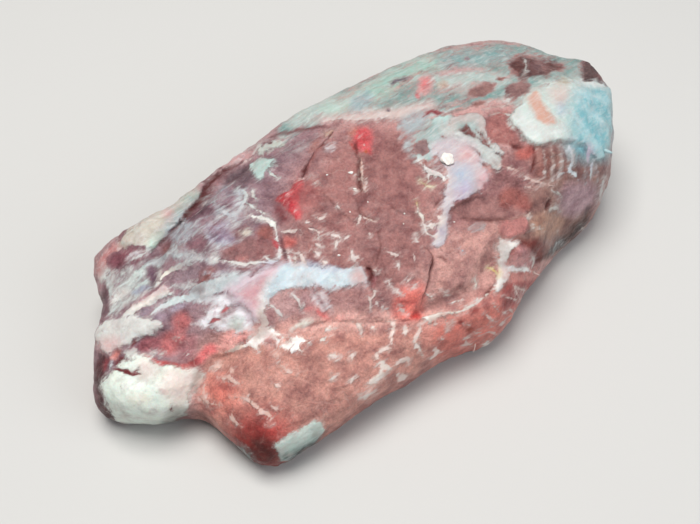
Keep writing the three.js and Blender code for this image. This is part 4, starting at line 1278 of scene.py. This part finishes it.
    def height(self, share: bpy.types.NodeSocket, grain: bpy.types.NodeSocket,
               bundles: bpy.types.NodeSocket) -> bpy.types.NodeSocket:
        """Shapes the fine relief: cut fibres in the lean, softer lumps in the fat."""
        bundle = self.add_node("MapRange", {0: bundles, **spread(self.bundle_rise)})
        fibres = self.add_node("Math", {"operation": "ADD", 0: grain, 1: bundle})
        lumps = self.add_node("TexNoise", {"Vector": self.place, **self.lump.inputs})
        raised = self.add_node("Math", {"operation": "MULTIPLY_ADD", 0: lumps, **spread(self.lump_rise)})
        return self.add_node("Mix", {"data_type": "FLOAT", 0: share, 2: fibres, 3: raised})


@dataclass
class CleanFat(Finish):
    """Firm pork back fat, as on the loose scraps: opaque, waxy and faintly mottled."""

    tint: str
    shade: str
    mottle: Pattern = Pattern(1.2, 3.0)
    mottle_height: float = 0.1
    light_depth: float = 1.0

    def build(self) -> bpy.types.Material:
        """Makes the material."""
        material = self.begin()
        mottle = self.add_node("TexNoise", {"Vector": self.place, **self.mottle.inputs})
        colour = self.add_node("Mix", {**COLOURS, 0: mottle, 6: opaque(self.tint),
                                       7: opaque(self.shade)}, 2)
        bump = self.add_node("Bump", {"Strength": 0.6, "Distance": self.mottle_height * MM,
                                      "Height": mottle})
        shader = self.add_node("BsdfPrincipled", {
            "IOR": 1.44, "Roughness": 0.4, "Subsurface Weight": 0.2, "Subsurface Radius": (1.0, 0.6, 0.5),
            "Subsurface Scale": self.light_depth * MM, "Base Color": colour, "Normal": bump})
        self.add_node("OutputMaterial", {"Surface": shader})
        return material


# ---------------------------------------------------------------------------------------------------
# The piece of meat


@dataclass
class PresaSkin:
    """The meat itself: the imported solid's form with a finer skin, painted and carved."""

    name: str = "presa_skin"
    weld: float = 0.01
    seen_cuts: int = 4
    hidden_cuts: int = 2
    sole_cuts: int = 1
    sole_depth: float = 0.4
    sole_facing: float = -0.9
    seen_facing: float = -0.12
    mark_reach: float = 8.0
    fine_edge: float = 1.5
    easing: int = 16
    most_faces: int = 196_000
    sole_fade: float = 3.0
    past_box: float = 0.5
    first_seed: float = 3.0
    next_seed: float = 11.0
    unevenness: tuple[tuple[float, float, bool], ...] = ((11.0, 0.7, False), (4.2, 0.46, False),
                                                         (1.7, 0.24, True))
    skin: bpy.types.Object = field(init=False)

    def build(self, material: bpy.types.Material) -> bpy.types.Object:
        """Makes the skin.

        Args:
            material: the finish that reads what is painted.

        Returns:
            The finished piece.
        """
        self.copy_solid()
        self.refine()
        self.refine_marks()
        self.ease()
        painter = self.paint()
        self.carve(painter)
        self.store(painter)
        self.dress(material)
        return self.skin

    def copy_solid(self) -> None:
        """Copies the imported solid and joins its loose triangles."""
        hold(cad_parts[NODE])
        bpy.ops.object.duplicate()
        self.skin = bpy.context.object
        self.skin.name = self.skin.data.name = self.name
        for key in list(self.skin.keys()):
            del self.skin[key]
        self.skin.parent = None
        hold(self.skin)
        bpy.ops.object.mode_set(mode="EDIT")
        bpy.ops.mesh.select_all(action="SELECT")
        bpy.ops.mesh.remove_doubles(threshold=self.weld * MM)
        bpy.ops.object.mode_set(mode="OBJECT")

    @staticmethod
    def read(rows: bpy.types.bpy_prop_collection, name: str) -> np.ndarray:
        """Reads one place or direction from each row of mesh data."""
        values = np.zeros(len(rows) * 3)
        rows.foreach_get(name, values)
        return values.reshape(-1, 3)

    def faces(self) -> tuple[np.ndarray, np.ndarray]:
        """Gives the middles of the faces, in millimetres, and their normals."""
        polygons = self.skin.data.polygons
        return self.read(polygons, "center") / MM, self.read(polygons, "normal")

    def points(self) -> tuple[np.ndarray, np.ndarray]:
        """Gives the skin's points, in millimetres, and their normals."""
        mesh = self.skin.data
        return self.read(mesh.vertices, "co") / MM, self.read(mesh.vertex_normals, "vector")

    def subdivide(self, chosen: np.ndarray, cuts: int) -> None:
        """Divides the chosen faces."""
        mesh = self.skin.data
        bpy.context.tool_settings.mesh_select_mode = (False, False, True)
        for group in (mesh.vertices, mesh.edges):
            group.foreach_set("select", np.zeros(len(group), dtype=bool))
        mesh.polygons.foreach_set("select", chosen)
        mesh.update()
        hold(self.skin)
        bpy.ops.object.mode_set(mode="EDIT")
        bpy.ops.mesh.subdivide(number_cuts=cuts)
        bpy.ops.mesh.select_all(action="SELECT")
        bpy.ops.mesh.quads_convert_to_tris(quad_method="BEAUTY", ngon_method="BEAUTY")
        bpy.ops.object.mode_set(mode="OBJECT")

    def refine(self) -> None:
        """Divides the faces: most finely where the photograph sees them, least on the underside."""
        for part, cuts in (("seen", self.seen_cuts), ("hidden", self.hidden_cuts),
                           ("sole", self.sole_cuts)):
            middles, normals = self.faces()
            sole = (middles[:, 2] < self.sole_depth) & (normals[:, 2] < self.sole_facing)
            seen = (normals @ CAMERA.back > self.seen_facing) & ~sole
            self.subdivide({"seen": seen, "hidden": ~seen & ~sole, "sole": sole}[part], cuts)

    def refine_marks(self) -> None:
        """Divides the faces next to fine marks once more, the nearest first, up to the most faces."""
        middles, normals = self.faces()
        flat = View.PHOTO.flatten(middles)
        seen = np.flatnonzero(View.PHOTO.facing(normals) > 0.5)
        nearest = np.full(len(middles), np.inf)
        for mark in (*PHOTO_MARKS, *CUTS):
            if isinstance(mark, Mark) and (mark.edge > self.fine_edge or mark.tissue is SWELL):
                continue
            corners = mark.points
            low, high = corners.min(0) - self.mark_reach, corners.max(0) + self.mark_reach
            found = seen[((flat[seen] > low) & (flat[seen] < high)).all(axis=1)]
            if isinstance(mark, Mark) and not mark.width:
                distance = np.abs(inside_distance(flat[found], corners))
            else:
                distance = path_distance(flat[found], corners)[0]
            nearest[found] = np.minimum(nearest[found], distance)
        spare = max(0, (self.most_faces - len(middles)) // 4)
        chosen = np.zeros(len(middles), dtype=bool)
        order = np.argsort(nearest, kind="stable")[:spare]
        chosen[order[np.isfinite(nearest[order])]] = True
        self.subdivide(chosen, 1)

    def ease(self) -> None:
        """Rounds off the solid's facets."""
        hold(self.skin)
        bpy.ops.object.mode_set(mode="EDIT")
        bpy.ops.mesh.select_all(action="SELECT")
        bpy.ops.mesh.vertices_smooth(factor=0.5, repeat=self.easing)
        bpy.ops.object.mode_set(mode="OBJECT")

    def paint(self) -> Painter:
        """Lays every mark on the skin, the hidden sides first and the photographed side over them."""
        painter = Painter(*self.points())
        for view, ground, marks in ((View.BACK, ("#9a736f", "#c4bdb6", 0.5), BACK_MARKS),
                                    (View.THICK_END, ("#9c746e", "#b9c4c2", 0.45), THICK_END_MARKS),
                                    (View.UNDER, ("#b07f77", "#d8cfc6", 0.12), UNDER_MARKS),
                                    (View.PHOTO, ("#c79b97", "#d6d2cc", 0.0), PHOTO_MARKS)):
            painter.look(view)
            painter.clear(*ground)
            for mark in marks:
                painter.lay(mark)
        for cut in CUTS:
            painter.cut(cut)
        return painter

    def carve(self, painter: Painter) -> None:
        """Moves the skin by what was painted and roughened, but leaves it lying flat."""
        for number, (size, height, lean_only) in enumerate(self.unevenness):
            painter.roughen(size, height, self.next_seed * number + self.first_seed, lean_only)
        lifted = smooth(0.0, self.sole_fade, painter.places[:, 2])
        places = painter.places + painter.normals * (painter.move * lifted)[:, None]
        places[:, 2] = np.maximum(places[:, 2], 0.0)
        low, high = np.array(CAD_BOX) / MM
        places = np.clip(places, low - self.past_box, high + self.past_box)
        self.skin.data.vertices.foreach_set("co", (places * MM).ravel())
        self.skin.data.update()

    def store(self, painter: Painter) -> None:
        """Keeps what was painted on the mesh, where the material reads it."""
        mesh = self.skin.data
        for name in [each.name for each in mesh.color_attributes]:
            mesh.color_attributes.remove(mesh.color_attributes[name])
        for name, colours in (("lean", painter.lean), ("pale", painter.pale)):
            kept = mesh.attributes.new(name, "FLOAT_COLOR", "POINT")
            kept.data.foreach_set("color", np.hstack([colours, np.ones((len(colours), 1))]).ravel())
        # deep is the share of painted crease shade.
        for name, shares in (("cover", painter.cover), ("haze", painter.haze), ("deep", painter.deep)):
            kept = mesh.attributes.new(name, "FLOAT", "POINT")
            kept.data.foreach_set("value", np.clip(shares, 0, 1))

    def dress(self, material: bpy.types.Material) -> None:
        """Gives the skin its finish, hangs it on the body and hides the imported solid."""
        self.skin.data.materials.clear()
        self.skin.data.materials.append(material)
        hold(self.skin)
        bpy.ops.object.shade_smooth()
        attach(self.skin, BODY)
        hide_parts(NODE)


@dataclass
class SkinFinder:
    """Finds places on the finished skin."""

    skin: bpy.types.Object

    def __post_init__(self) -> None:
        """Sorts the skin's faces for quick finding."""
        mesh = self.skin.data
        corners = [vertex.co / MM for vertex in mesh.vertices]
        self.tree = BVHTree.FromPolygons(corners, [tuple(face.vertices) for face in mesh.polygons])

    def under(self, point: tuple[float, float]) -> tuple[Vector, Vector]:
        """Finds the skin that a point of the photograph shows.

        Args:
            point: picture coordinates.

        Returns:
            The place, in millimetres, and the skin's normal there.
        """
        place, normal, _, _ = self.tree.ray_cast(Vector(CAMERA.place), CAMERA.ray(point))
        if place is None:
            place, normal, _, _ = self.tree.find_nearest(Vector(CAMERA.target))
        return place, normal


# ---------------------------------------------------------------------------------------------------
# Loose scraps


@dataclass(frozen=True)
class Scrap:
    """One loose bit of fat: where the photograph shows it, its size and how it is turned."""

    at: tuple[float, float]
    size: tuple[float, float, float]
    turn: float = 0.0


@dataclass
class Scraps:
    """Loose bits of fat that lie on the meat, sunk a little into its skin."""

    name: str
    rows: tuple[Scrap, ...]
    facets: int = 2
    unevenness: float = 0.34
    tightness: float = 0.9
    sink: float = 0.25
    crease: float = 38.0
    seed: tuple[float, float] = (4.0, 0.0)
    next_seed: tuple[float, float] = (3.7, 1.9)

    def build(self, finder: SkinFinder, material: bpy.types.Material) -> bpy.types.Object:
        """Makes the scraps as one piece.

        Args:
            finder: finds the skin under them.
            material: their finish.

        Returns:
            The finished piece.
        """
        made = [self.shape(row, number, finder) for number, row in enumerate(self.rows)]
        hold(made[0])
        for piece in made:
            piece.select_set(True)
        if len(made) > 1:
            bpy.ops.object.join()
        joined = bpy.context.object
        joined.name = joined.data.name = self.name
        bpy.ops.object.shade_smooth_by_angle(angle=math.radians(self.crease))
        joined.data.materials.clear()
        joined.data.materials.append(material)
        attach(joined, BODY)
        return joined

    def shape(self, row: Scrap, number: int, finder: SkinFinder) -> bpy.types.Object:
        """Shapes one scrap from a ball: flattened, made uneven and laid on the skin."""
        hold()
        bpy.ops.mesh.primitive_ico_sphere_add(subdivisions=self.facets, radius=0.5)
        piece = bpy.context.object
        bpy.ops.object.mode_set(mode="EDIT")
        bpy.ops.transform.resize(value=row.size)
        bpy.ops.object.mode_set(mode="OBJECT")
        shift = Vector((*(first + number * then for first, then in zip(self.seed, self.next_seed)), 0.0))
        for vertex in piece.data.vertices:
            lump = noise.noise_vector(vertex.co * self.tightness + shift)
            vertex.co += lump * self.unevenness * min(row.size)
        place, normal = finder.under(row.at)
        tilt = normal.to_track_quat("Z", "Y").to_matrix() @ Matrix.Rotation(math.radians(row.turn), 3, "Z")
        lift = place + normal * (row.size[2] / 2 - self.sink)
        piece.data.transform(Matrix.Translation(lift * MM) @ tilt.to_4x4() @ Matrix.Scale(MM, 4))
        return piece


@dataclass
class Fibre:
    """A thin loose thread of connective tissue that hangs from an edge."""

    name: str
    path: tuple[tuple[float, float], ...]
    droop: tuple[float, ...]
    thickness: float = 0.7
    sides: int = 8
    thinning: float = 0.68

    def build(self, finder: SkinFinder, material: bpy.types.Material) -> bpy.types.Object:
        """Makes the thread: a ring extruded along its path and drawn out to a point.

        Args:
            finder: finds the skin that it grows from.
            material: its finish.

        Returns:
            The finished piece.
        """
        start, _ = finder.under(self.path[0])
        right, up = Vector(CAMERA.right), Vector(CAMERA.up)
        scale = CAMERA.mm_per_point
        row = [start + ((x - self.path[0][0]) * right - (y - self.path[0][1]) * up) * scale
               - Vector((0, 0, drop)) for (x, y), drop in zip(self.path, self.droop)]
        turned = (row[-1] - row[0]).normalized().to_track_quat("Z", "Y")
        hold()
        bpy.ops.mesh.primitive_circle_add(vertices=self.sides, radius=self.thickness / 2 * MM,
                                          fill_type="NGON", location=row[0] * MM,
                                          rotation=turned.to_euler())
        piece = bpy.context.object
        bpy.ops.object.transform_apply(location=True, rotation=True, scale=True)
        bpy.ops.object.mode_set(mode="EDIT")
        bpy.ops.mesh.select_all(action="SELECT")
        for before, after in zip(row, row[1:]):
            bpy.ops.mesh.extrude_region_move(TRANSFORM_OT_translate={"value": (after - before) * MM})
            bpy.ops.transform.resize(value=(self.thinning,) * 3)
        bpy.ops.mesh.select_all(action="SELECT")
        bpy.ops.mesh.normals_make_consistent(inside=False)
        bpy.ops.object.mode_set(mode="OBJECT")
        hold(piece)
        bpy.ops.object.modifier_add(type="SUBSURF")
        piece.modifiers[-1].levels = piece.modifiers[-1].render_levels = 1
        bpy.ops.object.modifier_apply(modifier=piece.modifiers[-1].name)
        bpy.ops.object.shade_smooth()
        piece.name = piece.data.name = self.name
        piece.data.materials.append(material)
        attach(piece, BODY)
        return piece


CHIP = Scraps("fat_chip", (Scrap((447.0, 160.0), (4.6, 5.0, 1.9), 20.0),), facets=3, unevenness=0.32)
CRUMBS = Scraps("fat_crumbs", (
    Scrap((351.0, 172.7), (1.9, 1.1, 0.8), 10.0),
    Scrap((327.0, 175.0), (0.8, 0.7, 0.5)),
    Scrap((355.0, 189.0), (1.4, 0.8, 0.6), 30.0),
    Scrap((368.0, 202.0), (0.7, 0.6, 0.5)),
    Scrap((350.0, 212.0), (0.7, 0.6, 0.5)),
    Scrap((339.0, 255.5), (1.1, 0.9, 0.7)),
    Scrap((404.5, 213.6), (0.7, 0.6, 0.5)),
    Scrap((403.6, 223.6), (0.6, 0.6, 0.4)),
    Scrap((454.0, 222.0), (0.8, 0.6, 0.5)),
))
FIBRES = (
    Fibre("edge_fibre", ((475.0, 343.0), (475.2, 346.0), (474.2, 349.0), (473.0, 351.5)),
          (0.0, 0.3, 0.6, 0.9)),
    Fibre("flap_fibre", ((533.0, 272.5), (536.0, 273.4), (538.5, 274.2), (541.0, 274.6)),
          (0.0, 0.1, 0.3, 0.5), 0.8),
)
END_FIBRE = Fibre("end_fibre", ((603.5, 150.0), (608.0, 151.6), (611.5, 152.4), (613.0, 152.4)),
                  (0.0, 0.1, 0.2, 0.3), 2.2)


# ---------------------------------------------------------------------------------------------------
# The studio


@dataclass(frozen=True)
class Lamp:
    """A square soft light: where it stands from the piece and its side, in metres, and its power."""

    name: str
    place: tuple[float, float, float]
    side: float
    power: float
    tint: str


@dataclass
class Studio:
    """A plain pale floor under plain soft light."""

    floor_reach: float = 8.0
    floor_tint: str = "#cfcecb"
    floor_roughness: float = 0.9
    sky_tint: str = "#e6ebf2"
    sky_power: float = 0.25
    lamps: tuple[Lamp, ...] = (
        Lamp("key_light", (-0.08, 0.12, 1.0), 0.6, 10.7, "#fffdfa"),
        Lamp("fill_light", (0.35, -0.85, 0.6), 0.8, 3.8, "#f6f9ff"),
    )
    aim: tuple[float, float, float] = (0.0, 0.0, 0.02)

    def build(self) -> None:
        """Makes the floor, the sky and the lamps."""
        self.floor()
        self.sky()
        for lamp in self.lamps:
            self.light(lamp)

    def floor(self) -> bpy.types.Object:
        """Makes the floor, which ends far outside the view."""
        hold()
        bpy.ops.mesh.primitive_grid_add(x_subdivisions=8, y_subdivisions=8, size=self.floor_reach)
        floor = bpy.context.object
        floor.name = floor.data.name = "studio_floor"
        material = bpy.data.materials.new("matt_card")
        material.use_nodes = True
        shader = material.node_tree.nodes["Principled BSDF"]
        shader.inputs["Base Color"].default_value = opaque(self.floor_tint)
        shader.inputs["Roughness"].default_value = self.floor_roughness
        floor.data.materials.append(material)
        return floor

    def sky(self) -> None:
        """Lights everything evenly from all round."""
        world = bpy.data.worlds.new("studio_sky")
        bpy.context.scene.world = world
        world.use_nodes = True
        background = world.node_tree.nodes["Background"]
        background.inputs["Color"].default_value = opaque(self.sky_tint)
        background.inputs["Strength"].default_value = self.sky_power
        bpy.context.scene.view_settings.view_transform = "Standard"

    def light(self, lamp: Lamp) -> bpy.types.Object:
        """Adds one soft light, turned to the piece."""
        place = Vector(lamp.place)
        turned = (place - Vector(self.aim)).to_track_quat("Z", "Y")
        bpy.ops.object.light_add(type="AREA", location=place, rotation=turned.to_euler())
        light = bpy.context.object
        light.name = lamp.name
        light.data.size = lamp.side
        light.data.energy = lamp.power
        light.data.color = linear(lamp.tint)
        return light


def main() -> None:
    """Builds the camera, the meat, its loose scraps and the studio, in that order."""
    logging.basicConfig(level=logging.INFO, format="%(name)s: %(message)s")
    noise.seed_set(NOISE_SEED)
    CAMERA.build()
    log.info("camera in place")
    skin = PresaSkin().build(RawPork("raw_pork").build())
    log.info("%s: %d faces", skin.name, len(skin.data.polygons))
    finder = SkinFinder(skin)
    white_fat = CleanFat("white_back_fat", "#f3f0ea", "#dcd2cb").build()
    thread = CleanFat("connective_thread", "#e2ccc4", "#c9a9a0").build()
    silver = CleanFat("silverskin_thread", "#b7d0d3", "#9dbabd").build()
    for loose, material in ((CHIP, white_fat), (CRUMBS, white_fat), *((each, thread) for each in FIBRES),
                            (END_FIBRE, silver)):
        made = loose.build(finder, material)
        log.info("%s: %d faces", made.name, len(made.data.polygons))
    Studio().build()
    log.info("studio lit")


if __name__ == "__main__":
    main()
